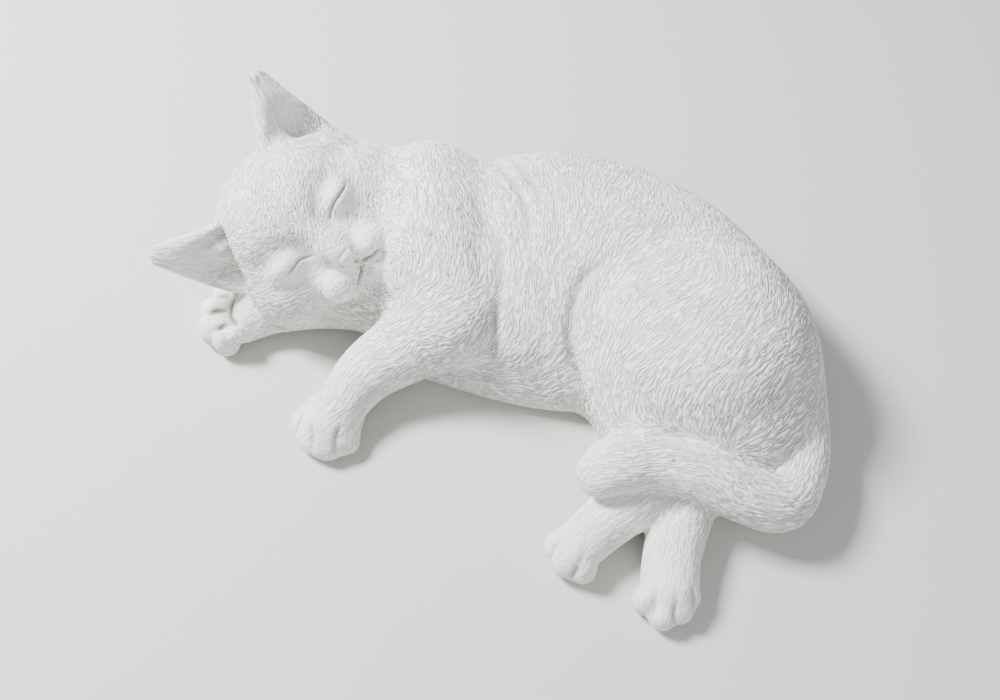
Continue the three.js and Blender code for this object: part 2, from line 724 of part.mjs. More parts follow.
function modelCat() {
  const clay = new Clay(ROOM_LOW, ROOM_HIGH, GRID);
  pressBody(clay);
  pressLimbs(clay);
  pressHead(clay);
  for (const ear of EARS) pressEar(clay, ear);
  for (const line of EAR_HAIR) clay.press(limb(onHead(line)), JOIN.earHair);
  for (const [line, width, depth] of FOLDS) clay.fold(line, width, depth);
  clay.visit(new THREE.Box3(ROOM_LOW, ROOM_HIGH), (at, x, y, z) => {
    clay.field[at] = Math.max(clay.field[at], -z - SLAB);
  });
  clay.fillPinches();
  return new Thinner(clay.skin()).run(FACETS);
}

const wasm = await Module();
wasm.setup();

function solid(positions, triangles) {
  const vertProperties = Float32Array.from(positions);
  const triVerts = Uint32Array.from(triangles);
  return new wasm.Manifold(new wasm.Mesh({ numProp: 3, vertProperties, triVerts }));
}

// The ground that the underside is cut flat by: a block with its top at z = 0.
function ground() {
  const size = ROOM_HIGH.clone().sub(ROOM_LOW);
  const block = new THREE.BoxGeometry(2 * size.x, 2 * size.y, size.z).translate(0, 0, -size.z / 2);
  block.deleteAttribute('normal').deleteAttribute('uv');
  const merged = mergeVertices(block);
  return solid(merged.attributes.position.array, merged.index.array);
}

function castCat() {
  const { positions, triangles } = modelCat();
  const { vertProperties, triVerts } = solid(positions, triangles).subtract(ground()).getMesh();
  const geometry = new THREE.BufferGeometry();
  geometry.setAttribute('position', new THREE.BufferAttribute(vertProperties, 3));
  geometry.setIndex(new THREE.BufferAttribute(triVerts, 1));
  geometry.computeBoundingBox();
  const middle = geometry.boundingBox.getCenter(new THREE.Vector3());
  geometry.translate(-middle.x, -middle.y, -geometry.boundingBox.min.z);
  geometry.computeVertexNormals();
  const mesh = new THREE.Mesh(geometry, CEMENT);
  mesh.name = 'cat';
  return mesh;
}

const cat = new THREE.Group();
cat.add(castCat());

export default cat;
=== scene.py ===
"""A sleeping cat, cast in one piece in white cement, with its coat carved in short strokes."""
from math import cos, pi, radians, sin

import bpy
import numpy as np
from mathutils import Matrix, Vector


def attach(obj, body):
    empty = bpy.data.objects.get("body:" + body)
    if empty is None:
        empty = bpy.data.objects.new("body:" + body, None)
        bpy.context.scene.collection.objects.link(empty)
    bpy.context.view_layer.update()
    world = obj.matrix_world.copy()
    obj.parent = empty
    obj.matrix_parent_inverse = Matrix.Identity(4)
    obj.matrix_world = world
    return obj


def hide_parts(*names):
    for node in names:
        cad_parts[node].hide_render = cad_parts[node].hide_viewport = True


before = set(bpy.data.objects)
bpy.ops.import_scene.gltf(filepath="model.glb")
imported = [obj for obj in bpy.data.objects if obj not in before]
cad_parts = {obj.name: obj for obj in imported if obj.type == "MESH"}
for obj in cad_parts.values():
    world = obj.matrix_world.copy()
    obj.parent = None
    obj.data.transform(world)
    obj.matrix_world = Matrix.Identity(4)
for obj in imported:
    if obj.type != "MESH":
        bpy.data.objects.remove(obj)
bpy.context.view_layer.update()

MM = 0.001                  # a millimetre in metres

# Fineness of the model, in millimetres unless it says otherwise.
GRID = 1.25                 # spacing of the points that the form is worked on
STEPS = 6                   # straight steps between two stations of a limb
REACH = 14                  # how far outside a shape its soft join is worked
FAR = 60                    # the distance that empty space starts with
FOLD_REACH = 3              # how far from its line a fold is worked, in widths of the fold
LINE_REACH = 4              # and a fine line, in its own widths
SLOPE_REACH = 0.6           # how far from a point its slope is read, in grid steps
SETTLING_ROUNDS = 4         # how often a point is moved to come to rest on the surface
MESH_SETTLING_ROUNDS = 3    # the same for the finished mesh, whose points start close to it
SKIN_OVER_FILL = 0.1        # how far below the skin a filled point lies, in grid steps
MOST_TRIANGLES = 196000     # what is left of the skin once the coat is carved

# The space that the clay may fill.
ROOM_LOW = (-230, -175, -8.75)
ROOM_HIGH = (215, 165, 140)

# Stations of the body and limbs: x, y and z of the centre, then the radius.
TORSO_FLATTENING = 0.66     # thickness from side to side, over depth from spine to belly
TORSO = [
    (-40, 75, 38, 58), (-4, 66, 38, 64), (20, 63, 37, 77), (40, 62, 37, 79), (64, 55, 37, 79),
    (84, 46, 38, 75), (104, 30, 38, 70), (119, 12, 38, 66), (130, -10, 38, 58), (138, -28, 36, 50),
]
BELLY = [(-46, 16, 10, 18), (0, 4, 13, 22), (30, -2, 14, 23), (60, -6, 16, 22)]
NECK_FLATTENING = 0.8
NECK = [(-112, 98, 46, 36), (-80, 92, 44, 42), (-44, 82, 46, 50)]
THROAT = [(-112, 52, 20, 19), (-78, 46, 20, 22), (-44, 32, 22, 28)]
THIGH = [
    (124, 18, 54, 46), (98, 12, 55, 42), (76, 3, 51, 33), (77, -22, 46, 29), (86, -46, 36, 27),
]
BELOW_HAUNCH = [(70, -6, 10, 24), (84, -34, 10, 24), (108, -52, 10, 24), (146, -44, 12, 24)]
UPPER_ARM = [(-44, 104, 58, 30), (-38, 66, 64, 33), (-30, 36, 59, 30), (-27, 17, 52, 28)]
FOREARM = [
    (-27, 17, 50, 28), (-52, 8, 36, 23), (-80, -6, 24, 18.5), (-95, -23, 18, 15.5),
    (-104, -34, 15, 15),
]
PILLOW_ARM = [(-70, 54, 18, 18), (-118, 47, 16, 15.5), (-150, 40, 16, 14)]
UPPER_HIND_FOOT = [
    (110, -56, 26, 22), (84, -82, 22, 18), (60, -100, 17, 15.5), (42, -115, 14, 14.5),
]
LOWER_HIND_FOOT = [
    (116, -70, 18, 19), (105, -95, 15, 17.5), (98, -117, 14, 16.5), (95, -136, 11, 16.5),
]
TAIL = [
    (172, 2, 34, 22), (176, -34, 30, 17.5), (173, -66, 28, 17), (160, -90, 28, 17.5),
    (137, -88, 35, 17), (112, -79, 42, 16), (86, -74, 45, 15.5), (67, -75, 45, 17),
    (56, -80, 43, 13.5),
]
BELOW_TAIL = [(174, -30, 10, 17), (170, -64, 10, 16), (156, -84, 9, 16), (130, -76, 12, 15)]

# Round masses: the centre, then the three radii.
SHOULDER = ((-44, 103, 48), (36, 36, 36))
NAPE = ((-92, 104, 58), (34, 32, 30))
HAUNCH = ((120, -1, 52), (64, 60, 48))
HAUNCH_TURN = -20           # degrees about +Z
FORE_PAW = ((-105, -37, 10), (20, 20, 13))
PILLOW_PAW = ((-166, 39, 14), (21, 19, 13))
PALM_PAD = ((-160, 38, 22), (8, 13, 8))

# Toes: the height of their middles, then x and y of each, and its radius.
FORE_TOES_HEIGHT = 8
PILLOW_TOES_HEIGHT = 11
UPPER_HIND_TOES_HEIGHT = 10
LOWER_HIND_TOES_HEIGHT = 9
TOE_CROWN = 2               # how much taller than its middle's height a toe is
TOE_PAD = (6, -1, 22)       # a pad's middle from its toe's in x and y, and its height
TOE_PAD_RADII = (7.5, 5.5, 5)
FORE_TOES = [(-94, -45, 9), (-104, -48, 9.5), (-114, -43, 9.5), (-119, -33, 8.5)]
PILLOW_TOES = [(-178, 53, 8.5), (-184, 42, 9.5), (-183, 30, 9.5), (-174, 22, 8.5)]
UPPER_HIND_TOES = [(34, -112, 9), (38, -121, 9), (47, -125, 8)]
LOWER_HIND_TOES = [(81, -143, 7.5), (90.5, -150.5, 8.5), (100, -147, 8.5), (106, -141, 6.5)]

# Folds in the coat: points near the surface, which the fold settles on.
HAUNCH_FOLD = [(66, 36, 86), (48, 26, 78), (42, 8, 60), (44, -10, 50), (48, -34, 35)]
ELBOW_FOLD = [(-6, 62, 84), (1, 40, 78), (3, 22, 60), (0, 8, 48)]
SHOULDER_FOLD = [(-2, 124, 60), (4, 102, 78), (11, 84, 84), (16, 66, 86), (17, 44, 84)]
NECK_FOLD = [(-58, 112, 75), (-52, 94, 80), (-50, 76, 80)]
# Each fold's line, its width and its depth.
FOLDS = [
    (HAUNCH_FOLD, 4, 2.5), (ELBOW_FOLD, 4, 2.5), (SHOULDER_FOLD, 5, 1.8), (NECK_FOLD, 5, 1.5),
]

# The head has a frame of its own: left to the cat's left ear, up to its crown, forward out of
# its face.
HEAD_CENTRE = np.array([-124.0, 77.0, 62.0])
HEAD_LEFT = np.array([0.575, 0.722, 0.384])
HEAD_UP = np.array([-0.724, 0.229, 0.652])

# Masses of the head in that frame: the centre, the radii and the softness of the join.
HEAD_MIDDLE = [
    ((0, 4, -6), (49, 44, 43), 8),             # skull
    ((46, -28, -14), (24, 24, 24), 10),        # ruff below the upper cheek
    ((0, 18, 15), (33, 21, 20), 8),            # forehead
    ((0, -12, 17), (38, 27, 21), 8),           # face between the eyes and the muzzle
    ((0, -30, 22), (31, 21, 25), 7),           # muzzle
    ((5, -42.5, 36), (12.5, 8.5, 11), 2),      # chin
]
HEAD_PAIRS = [
    ((32, -18, 2), (27, 27, 28), 12),          # cheek
    ((14, -30.5, 36.5), (14, 11.5, 13), 2.5),  # whisker pad
    ((23, 0, 26.5), (13, 9.5, 10.5), 7),       # closed eye
]
NOSE_BRIDGE = [(0, 12, 25, 17), (0, -4, 34, 12.5), (0, -15, 43, 9.5), (0, -21, 47, 7)]
NOSE_LEATHER = ((0, -32.5, 63), (15.5, 14, 14))  # the hollow that makes its flat front

# Hollows on both sides of the face: the line in the head's frame, its width and its depth.
FACE_FOLDS = [
    ([(12, 4, 43), (13, -3, 43)], 5, 2.0),                # corner of the eye
    ([(17, 8, 38), (25, 9, 34), (33, 8, 27)], 4.5, 1.3),  # above the eye
]

# Ears in the head's frame: side, base, middle and tip of the blade, and the tip's radius.
EARS = [
    (1, (35, 19, -10), (44, 40, -8), (55.5, 67, -6), 6.5),
    (-1, (-34, 12, -10), (-48, 32, -8), (-62, 54, -6), 8),
]
EAR_BASE_RADIUS = 27
EAR_MIDDLE_RADIUS = 18
EAR_FLATTENING = 0.42
EAR_OPENING_OUTWARD = 0.25  # how far the opening turns out from straight ahead
CUP_OFFSET = 9              # the scoop's centre, in front of the blade
CUP_TIP_OFFSET = 8.1
CUP_FLATTENING = 0.5
CUP_BASE_RADIUS = 23
CUP_MIDDLE_RADIUS = 16
CUP_START = 10              # along the blade from its base
CUP_END = -3                # and from its tip
EAR_RIM = 2                 # left round the tip
# Long hair in the ears: the curtain on the side towards the crown, and the coat that laps over
# the base.
EAR_HAIR = [
    [(47, 57, -8, 3), (38, 45, -9, 6), (31, 35, -9, 9)],
    [(20, 33, -4, 8), (28, 28, -3, 9), (36, 22, -4, 9), (45, 15, -8, 9), (54, 8, -13, 8)],
    [(18, 28, 2, 10), (26, 24, 3, 11), (35, 16, 2, 11), (44, 9, -3, 10), (50, 2, -9, 10)],
    [(-56, 42, -8, 3), (-46, 34, -10, 6), (-37, 27, -11, 9)],
]

# How softly each mass flows into what is there: the gap between two surfaces at which the
# join starts to fill.
JOIN = {
    "torso": 6, "belly": 16, "shoulder": 12, "nape": 12, "neck": 14, "throat": 12,
    "haunch": 16, "thigh": 7, "below_haunch": 10, "arm": 8, "fore_paw": 8, "fore_toes": 2.5,
    "pillow_paw": 6, "pillow_toes": 2, "toe_pads": 1.5, "palm_pad": 2, "upper_hind_foot": 6,
    "upper_hind_toes": 3, "lower_hind_foot": 5, "lower_hind_toes": 2.5, "tail": 4,
    "below_tail": 10, "nose_bridge": 7, "nose_leather": 1, "ear": 5, "cup": 3, "ear_hair": 7,
}


def unit(v):
    """The vector, or each row of vectors, at length one."""
    v = np.asarray(v, float)
    return v / np.maximum(np.linalg.norm(v, axis=-1, keepdims=True), 1e-9)


def smooth_curve(stations):
    """Straight steps along the smooth curve through the stations."""
    p = np.asarray(stations, float)
    p = np.vstack([2 * p[0] - p[1], p, 2 * p[-1] - p[-2]])
    t = (np.arange(STEPS) / STEPS)[:, None]
    pieces = []
    for a, b, c, d in zip(p[:-3], p[1:-2], p[2:-1], p[3:]):
        turn = (2 * a - 5 * b + 4 * c - d) * t**2 + (3 * b - a - 3 * c + d) * t**3
        pieces.append((2 * b + (c - a) * t + turn) / 2)
    return np.vstack([*pieces, p[-2]])


def soft_min(a, b, softness):
    """The smaller of two distances, rounded where they meet."""
    h = np.maximum(softness - np.abs(a - b), 0)
    return np.minimum(a, b) - h * h / (4 * softness)


def hangs_together(pattern):
    """True if the corners of a cell whose bits are set join up along the cell's edges."""
    reached = pattern & -pattern
    grown = 0
    while grown != reached:
        grown = reached
        for corner in range(8):
            if grown >> corner & 1:
                for bit in (1, 2, 4):
                    reached |= (1 << (corner ^ bit)) & pattern
    return reached == pattern


ALL_CORNERS = 255           # the pattern of a cell that is inside at every corner
IS_CLEAR = np.array([
    hangs_together(pattern) and hangs_together(ALL_CORNERS ^ pattern)
    for pattern in range(ALL_CORNERS + 1)
])
CORNERS = np.array([(c & 1, c >> 1 & 1, c >> 2) for c in range(8)])
EDGES = [(a, a | bit) for a in range(8) for bit in (1, 2, 4) if not a & bit]


class Clay:
    """Distances to the surface at the points of a grid, below zero inside."""

    def __init__(self, low, high, step):
        self.low = np.array(low, float)
        self.step = step
        self.axes = [np.arange(a, b + step, step, dtype=np.float32) for a, b in zip(low, high)]
        self.field = np.full([len(axis) for axis in self.axes], FAR, np.float32)

    def window(self, low, high):
        """The part of the grid in a box, and the coordinates along it."""
        cut = []
        for axis, a, b in zip(self.axes, low, high):
            cut.append(slice(int(np.searchsorted(axis, a)), int(np.searchsorted(axis, b))))
        return tuple(cut), self.coordinates(cut)

    def coordinates(self, cut):
        """The x, y and z of a part of the grid."""
        return np.ix_(*[axis[part] for axis, part in zip(self.axes, cut)])

    def ball(self, centre, radii, axes=np.eye(3)):
        """An egg of three radii along its own axes."""
        centre = np.asarray(centre, float)
        reach = max(radii) + REACH
        cut, xyz = self.window(centre - reach, centre + reach)
        near = 0
        slope = 0
        for axis, radius in zip(axes, radii):
            along = sum((part - c) * a for part, c, a in zip(xyz, centre, axis)) / radius
            near = near + along**2
            slope = slope + (along / radius) ** 2
        near = np.sqrt(near)
        return cut, near * (near - 1) / np.maximum(np.sqrt(slope), 1e-6)

    def limb(self, stations, flattening=1, flat=(0, 0, 1)):
        """A tapering limb along its stations, thinner by flattening along the flat direction."""
        path = smooth_curve(stations)
        reach = np.maximum(path[:-1, 3:], path[1:, 3:]) + REACH
        lows = np.minimum(path[:-1], path[1:])[:, :3] - reach
        highs = np.maximum(path[:-1], path[1:])[:, :3] + reach
        whole, _ = self.window(lows.min(0), highs.max(0))
        first = [part.start for part in whole]
        distance = np.full([part.stop - part.start for part in whole], FAR, np.float32)
        flat = np.asarray(flat, float)
        stretch = 1 / flattening - 1
        for a, b, low, high in zip(path[:-1], path[1:], lows, highs):
            cut, xyz = self.window(low, high)
            along = (b - a)[:3]
            along = along + along @ flat * stretch * flat
            away = [part - c for part, c in zip(xyz, a)]
            if stretch:
                extra = sum(part * f for part, f in zip(away, flat)) * stretch
                away = [part + extra * f for part, f in zip(away, flat)]
            t = sum(part * c for part, c in zip(away, along)) / max(along @ along, 1e-6)
            t = np.clip(t, 0, 1)
            gap = np.sqrt(sum((part - t * c) ** 2 for part, c in zip(away, along)))
            gap -= a[3] + t * (b[3] - a[3])
            part = tuple(slice(c.start - f, c.stop - f) for c, f in zip(cut, first))
            distance[part] = np.minimum(distance[part], gap)
        return whole, distance

    def press(self, shape, softness):
        """Adds a shape, with a soft join."""
        cut, distance = shape
        self.field[cut] = soft_min(self.field[cut], distance, softness)

    def scoop(self, shape, softness):
        """Takes a shape away, with a soft rim."""
        cut, distance = shape
        self.field[cut] = -soft_min(-self.field[cut], distance, softness)

    def at(self, points):
        """The distance at any points, blended from the eight grid points round each."""
        place = (np.asarray(points, float) - self.low) / self.step
        cell = np.clip(np.floor(place).astype(int), 0, np.array(self.field.shape) - 2)
        share = place - cell
        total = 0
        for corner in CORNERS:
            weight = np.prod(np.abs(1 - corner - share), axis=-1)
            total = total + weight * self.field[tuple((cell + corner).T)]
        return total

    def slope(self, points):
        """Which way the field rises at the points, and how steeply."""
        half = SLOPE_REACH * self.step
        ahead = [self.at(points + half * axis) for axis in np.eye(3)]
        behind = [self.at(points - half * axis) for axis in np.eye(3)]
        return (np.array(ahead) - np.array(behind)).T / (2 * half)

    def settle(self, points, rounds=SETTLING_ROUNDS):
        """Moves points on to the surface, down the slope of the field."""
        points = np.asarray(points, float)
        for _ in range(rounds):
            slope = self.slope(points)
            steepness = np.maximum((slope**2).sum(1), 1e-3)
            points = points - slope * (self.at(points) / steepness)[:, None]
        return points

    def fold(self, points, width, depth):
        """Draws a soft fold along a line of points, settled on the surface."""
        line = smooth_curve(self.settle(points))
        reach = FOLD_REACH * width
        cut, xyz = self.window(line.min(0) - reach, line.max(0) + reach)
        nearest = FAR**2
        for a, b in zip(line[:-1], line[1:]):
            along = b - a
            away = [part - c for part, c in zip(xyz, a)]
            t = sum(part * c for part, c in zip(away, along)) / max(along @ along, 1e-6)
            t = np.clip(t, 0, 1)
            gap = sum((part - t * c) ** 2 for part, c in zip(away, along))
            nearest = np.minimum(nearest, gap)
        self.field[cut] += depth * np.exp(-nearest / width**2)

    def patterns(self):
        """For each cell, a number with one bit for each corner that is inside."""
        inside = self.field < 0
        nx, ny, nz = np.array(inside.shape) - 1
        total = np.zeros((nx, ny, nz), np.uint8)
        for bit, (i, j, k) in enumerate(CORNERS):
            total |= inside[i:i + nx, j:j + ny, k:k + nz].astype(np.uint8) << bit
        return total

    def fill_pinches(self):
        """Fills the few cells where two surfaces would touch."""
        while True:
            cells = np.argwhere(~IS_CLEAR[self.patterns()])
            if not len(cells):
                return
            for cell in cells:
                corners = cell + CORNERS
                values = self.field[tuple(corners.T)]
                if (values < 0).all():
                    continue
                place = corners[np.argmin(np.where(values < 0, FAR, values))]
                self.field[tuple(place)] = -SKIN_OVER_FILL * self.step

    def skin(self):
        """One point in each cell that the surface passes through, and a quad across each grid
        edge that it cuts."""
        patterns = self.patterns()
        cells = np.argwhere((patterns > 0) & (patterns < ALL_CORNERS))
        numbers = np.full(patterns.shape, -1, np.int64)
        numbers[tuple(cells.T)] = np.arange(len(cells))
        values = np.array([self.field[tuple((cells + corner).T)] for corner in CORNERS])
        total = np.zeros((len(cells), 3))
        count = np.zeros(len(cells))
        for a, b in EDGES:
            crossed = (values[a] < 0) != (values[b] < 0)
            share = np.where(crossed, values[a] / np.where(crossed, values[a] - values[b], 1), 0)
            place = CORNERS[a] + share[:, None] * (CORNERS[b] - CORNERS[a])
            total += crossed[:, None] * place
            count += crossed
        points = self.low + self.step * (cells + total / count[:, None])
        inside = self.field < 0
        quads = []
        for axis in range(3):
            step = np.eye(3, dtype=int)[axis]
            u, v = np.eye(3, dtype=int)[(axis + 1) % 3], np.eye(3, dtype=int)[(axis + 2) % 3]
            here = inside[:inside.shape[0] - step[0], :inside.shape[1] - step[1],
                          :inside.shape[2] - step[2]]
            there = inside[step[0]:, step[1]:, step[2]:]
            edges = np.argwhere(here != there)
            out = here[tuple(edges.T)]
            ring = [numbers[tuple((edges - back).T)] for back in (0 * u, u, u + v, v)]
            ring = np.array(ring).T
            ring[~out] = ring[~out][:, ::-1]
            quads.append(ring)
        return points, np.vstack(quads)


def head_axes():
    """The head's own axes as rows: left, up and forward, square to each other."""
    left = unit(HEAD_LEFT)
    forward = unit(np.cross(left, HEAD_UP))
    return np.array([left, np.cross(forward, left), forward])


HEAD_AXES = head_axes()


def on_head(stations):
    """Stations given in the head's frame, in the model's. What follows the place stays."""
    rows = np.asarray(stations, float)
    return np.hstack([HEAD_CENTRE + rows[:, :3] @ HEAD_AXES, rows[:, 3:]])


def mirrored(stations, side):
    """Stations in the head's frame, on that side of it."""
    return [(side * row[0], *row[1:]) for row in stations]


def head_ball(clay, centre, radii):
    """An egg placed and turned in the head's frame."""
    return clay.ball(on_head([centre])[0], radii, HEAD_AXES)


def press_body(clay):
    turn = radians(HAUNCH_TURN)
    turned = np.array([(cos(turn), sin(turn), 0), (-sin(turn), cos(turn), 0), (0, 0, 1)])
    clay.press(clay.limb(TORSO, TORSO_FLATTENING), JOIN["torso"])
    clay.press(clay.limb(BELLY), JOIN["belly"])
    clay.press(clay.ball(*SHOULDER), JOIN["shoulder"])
    clay.press(clay.ball(*NAPE), JOIN["nape"])
    clay.press(clay.limb(NECK, NECK_FLATTENING), JOIN["neck"])
    clay.press(clay.limb(THROAT), JOIN["throat"])
    clay.press(clay.ball(*HAUNCH, turned), JOIN["haunch"])
    clay.press(clay.limb(THIGH), JOIN["thigh"])
    clay.press(clay.limb(BELOW_HAUNCH), JOIN["below_haunch"])


def press_toes(clay, toes, height, softness):
    """Toes side by side, each an egg that reaches the ground."""
    for x, y, radius in toes:
        clay.press(clay.ball((x, y, height), (radius, radius, height + TOE_CROWN)), softness)


def press_pillow_paw(clay):
    """The arm and paw below the head, with the pads of its upturned sole."""
    clay.press(clay.limb(PILLOW_ARM), JOIN["arm"])
    clay.press(clay.ball(*PILLOW_PAW), JOIN["pillow_paw"])
    press_toes(clay, PILLOW_TOES, PILLOW_TOES_HEIGHT, JOIN["pillow_toes"])
    along_x, along_y, height = TOE_PAD
    for x, y, _ in PILLOW_TOES:
        pad = clay.ball((x + along_x, y + along_y, height), TOE_PAD_RADII)
        clay.press(pad, JOIN["toe_pads"])
    clay.press(clay.ball(*PALM_PAD), JOIN["palm_pad"])


def press_limbs(clay):
    clay.press(clay.limb(UPPER_ARM), JOIN["arm"])
    clay.press(clay.limb(FOREARM), JOIN["arm"])
    clay.press(clay.ball(*FORE_PAW), JOIN["fore_paw"])
    press_toes(clay, FORE_TOES, FORE_TOES_HEIGHT, JOIN["fore_toes"])
    press_pillow_paw(clay)
    clay.press(clay.limb(UPPER_HIND_FOOT), JOIN["upper_hind_foot"])
    press_toes(clay, UPPER_HIND_TOES, UPPER_HIND_TOES_HEIGHT, JOIN["upper_hind_toes"])
    clay.press(clay.limb(LOWER_HIND_FOOT), JOIN["lower_hind_foot"])
    press_toes(clay, LOWER_HIND_TOES, LOWER_HIND_TOES_HEIGHT, JOIN["lower_hind_toes"])
    clay.press(clay.limb(TAIL), JOIN["tail"])
    clay.press(clay.limb(BELOW_TAIL), JOIN["below_tail"])


def press_head(clay):
    for centre, radii, softness in HEAD_MIDDLE:
        clay.press(head_ball(clay, centre, radii), softness)
    for centre, radii, softness in HEAD_PAIRS:
        for side in (-1, 1):
            clay.press(head_ball(clay, mirrored([centre], side)[0], radii), softness)
    clay.press(clay.limb(on_head(NOSE_BRIDGE)), JOIN["nose_bridge"])
    clay.scoop(head_ball(clay, *NOSE_LEATHER), JOIN["nose_leather"])
    for line, width, depth in FACE_FOLDS:
        for side in (-1, 1):
            clay.fold(on_head(mirrored(line, side)), width, depth)


def press_ear(clay, side, base, middle, tip, tip_radius):
    """A flat tapering blade, rounded behind and scooped out in front."""
    root, bend, end = (np.array(place, float) for place in (base, middle, tip))
    axis = unit(end - root)
    front = np.array([side * EAR_OPENING_OUTWARD, 0, 1])
    front = unit(front - axis * (front @ axis))
    flat = front @ HEAD_AXES
    blade = [(*root, EAR_BASE_RADIUS), (*bend, EAR_MIDDLE_RADIUS), (*end, tip_radius)]
    clay.press(clay.limb(on_head(blade), EAR_FLATTENING, flat), JOIN["ear"])
    cup = [
        (*(root + CUP_OFFSET * front + CUP_START * axis), CUP_BASE_RADIUS),
        (*(bend + CUP_OFFSET * front), CUP_MIDDLE_RADIUS),
        (*(end + CUP_TIP_OFFSET * front + CUP_END * axis), tip_radius - EAR_RIM),
    ]
    clay.scoop(clay.limb(on_head(cup), CUP_FLATTENING, flat), JOIN["cup"])


def model_cat():
    """The whole form in clay, with its soft folds and its flat underside."""
    clay = Clay(ROOM_LOW, ROOM_HIGH, GRID)
    press_body(clay)
    press_limbs(clay)
    press_head(clay)
    for ear in EARS:
        press_ear(clay, *ear)
    for line in EAR_HAIR:
        clay.press(clay.limb(on_head(line)), JOIN["ear_hair"])
    for line, width, depth in FOLDS:
        clay.fold(line, width, depth)
    _, _, height = clay.coordinates([slice(None)] * 3)
    clay.field = np.maximum(clay.field, -height)
    clay.fill_pinches()
    return clay


# The lie of the coat on the body and head: x, y and z of a place, and the heading of its
# strokes seen from above, in degrees from +X.
COAT = [
    # head
    (-138, 80, 105, 95), (-121, 79, 107, 95), (-105, 84, 101, 95), (-147, 80, 101, 85),
    (-160, 67, 89, 75), (-104, 73, 98, 80), (-94, 66, 91, 60), (-84, 91, 91, 100),
    (-75, 92, 88, 115), (-86, 72, 88, 80), (-134, 53, 99, 90), (-120, 52, 100, 95),
    (-109, 51, 96, 100), (-147, 44, 84, 10), (-135, 43, 86, 15), (-121, 42, 87, 15),
    (-141, 38, 72, 5), (-123, 37, 77, 30), (-109, 37, 71, 30), (-94, 34, 75, 10),
    (-130, 31, 66, 5), (-113, 32, 63, 25), (-94, 28, 69, 40), (-117, 28, 55, 30),
    (-83, 61, 82, 90), (-74, 55, 81, 80), (-77, 43, 73, 55), (-142, 31, 58, 160),
    # neck and throat
    (-85, 110, 89, 140), (-67, 106, 84, 130), (-60, 86, 88, 100), (-59, 66, 90, 95),
    (-58, 48, 86, 95), (-58, 34, 75, 85), (-46, 62, 96, 95), (-41, 85, 95, 100),
    (-30, 91, 91, 100), (-21, 82, 89, 105), (-35, 52, 96, 95), (-23, 54, 93, 100),
    (-34, 32, 89, 90), (-23, 27, 87, 90), (-46, 16, 77, 75), (-34, 11, 80, 85),
    (-90, 34, 36, 160), (-70, 25, 48, 150), (-55, 7, 63, 140), (-40, -5, 67, 150),
    (-77, 3, 47, 150),
    # shoulder
    (-12, 112, 74, 115), (-6, 96, 80, 110), (6, 95, 82, 115), (15, 93, 84, 125),
    (-16, 67, 89, 105), (-6, 70, 85, 110), (6, 72, 87, 110), (-9, 42, 84, 105),
    (1, 43, 83, 105), (1, 28, 79, 95), (-17, 14, 80, 90), (-9, 8, 73, 95), (0, 6, 67, 95),
    (-20, -8, 66, 105), (-35, -12, 56, 130),
    # flank and belly
    (24, 100, 83, 105), (33, 92, 86, 90), (45, 92, 85, 85), (24, 71, 89, 95),
    (32, 67, 89, 85), (51, 83, 87, 75), (60, 88, 86, 80), (23, 50, 88, 95), (32, 50, 88, 90),
    (41, 50, 89, 85), (49, 49, 89, 75), (58, 56, 89, 70), (68, 68, 89, 70), (12, 35, 84, 95),
    (20, 35, 85, 95), (29, 34, 86, 90), (49, 34, 87, 75), (60, 34, 86, 65), (9, 16, 77, 90),
    (20, 15, 78, 90), (40, 15, 79, 90), (47, 14, 80, 80), (6, 4, 69, 75), (17, 2, 69, 70),
    (29, 2, 70, 70), (40, 0, 70, 85), (12, -7, 59, 40), (23, -9, 57, 35), (35, -11, 58, 35),
    (43, -15, 56, 35), (24, -15, 44, 20), (38, -18, 46, 15), (6, -15, 39, 0), (39, -24, 31, 5),
    (18, -21, 28, 165), (-6, -16, 22, 155), (6, -21, 17, 165), (40, -25, 9, 10),
    # haunch and hip
    (87, 87, 82, 65), (82, 65, 88, 60), (77, 50, 89, 45), (80, 37, 89, 40), (100, 90, 78, 95),
    (112, 81, 78, 95), (97, 58, 86, 65), (112, 61, 83, 75), (93, 28, 95, 20), (92, 15, 97, 15),
    (107, 28, 97, 60), (118, 29, 98, 70), (118, 80, 76, 100), (127, 64, 78, 80),
    (136, 68, 72, 95), (150, 67, 63, 90), (138, 27, 97, 90), (149, 23, 93, 85),
    (164, 23, 82, 90), (68, 13, 88, 60), (79, 10, 93, 20), (94, 7, 98, 20), (107, 5, 100, 30),
    (121, 8, 101, 50), (59, 3, 82, 60), (52, -3, 75, 75), (52, -13, 71, 90), (70, -5, 86, 45),
    (83, -9, 92, 40), (95, -11, 96, 40), (109, -13, 98, 40), (122, -10, 100, 45),
    (136, -6, 98, 55), (152, -4, 94, 65), (169, 0, 83, 75), (64, -19, 76, 60),
    (77, -23, 83, 35), (90, -26, 89, 30), (103, -28, 93, 40), (116, -29, 94, 45),
    (144, -27, 92, 50), (159, -24, 86, 50), (178, -21, 67, 55), (60, -33, 67, 85),
    (69, -35, 71, 75), (80, -40, 73, 70), (91, -40, 80, 40), (103, -42, 84, 35),
    (129, -43, 86, 50), (144, -41, 83, 50), (159, -38, 77, 50), (179, -33, 60, 55),
    (62, -47, 57, 100), (74, -48, 64, 100), (87, -49, 67, 105), (99, -52, 71, 75),
    (112, -53, 75, 55), (125, -53, 76, 65), (142, -52, 74, 65), (161, -51, 65, 50),
    (179, -47, 50, 55), (101, -59, 60, 125), (119, -63, 62, 95), (132, -63, 63, 40),
    (147, -66, 58, 20), (165, -61, 53, 35), (178, -63, 44, 40), (81, -59, 59, 140),
]
COAT_BLEND = 10             # how far one place's heading is felt round it
POINTS_AT_ONCE = 20000      # points that are blended together, to spare memory
STEEPEST = 0.2              # how upright a normal is taken to be at least, on a steep side

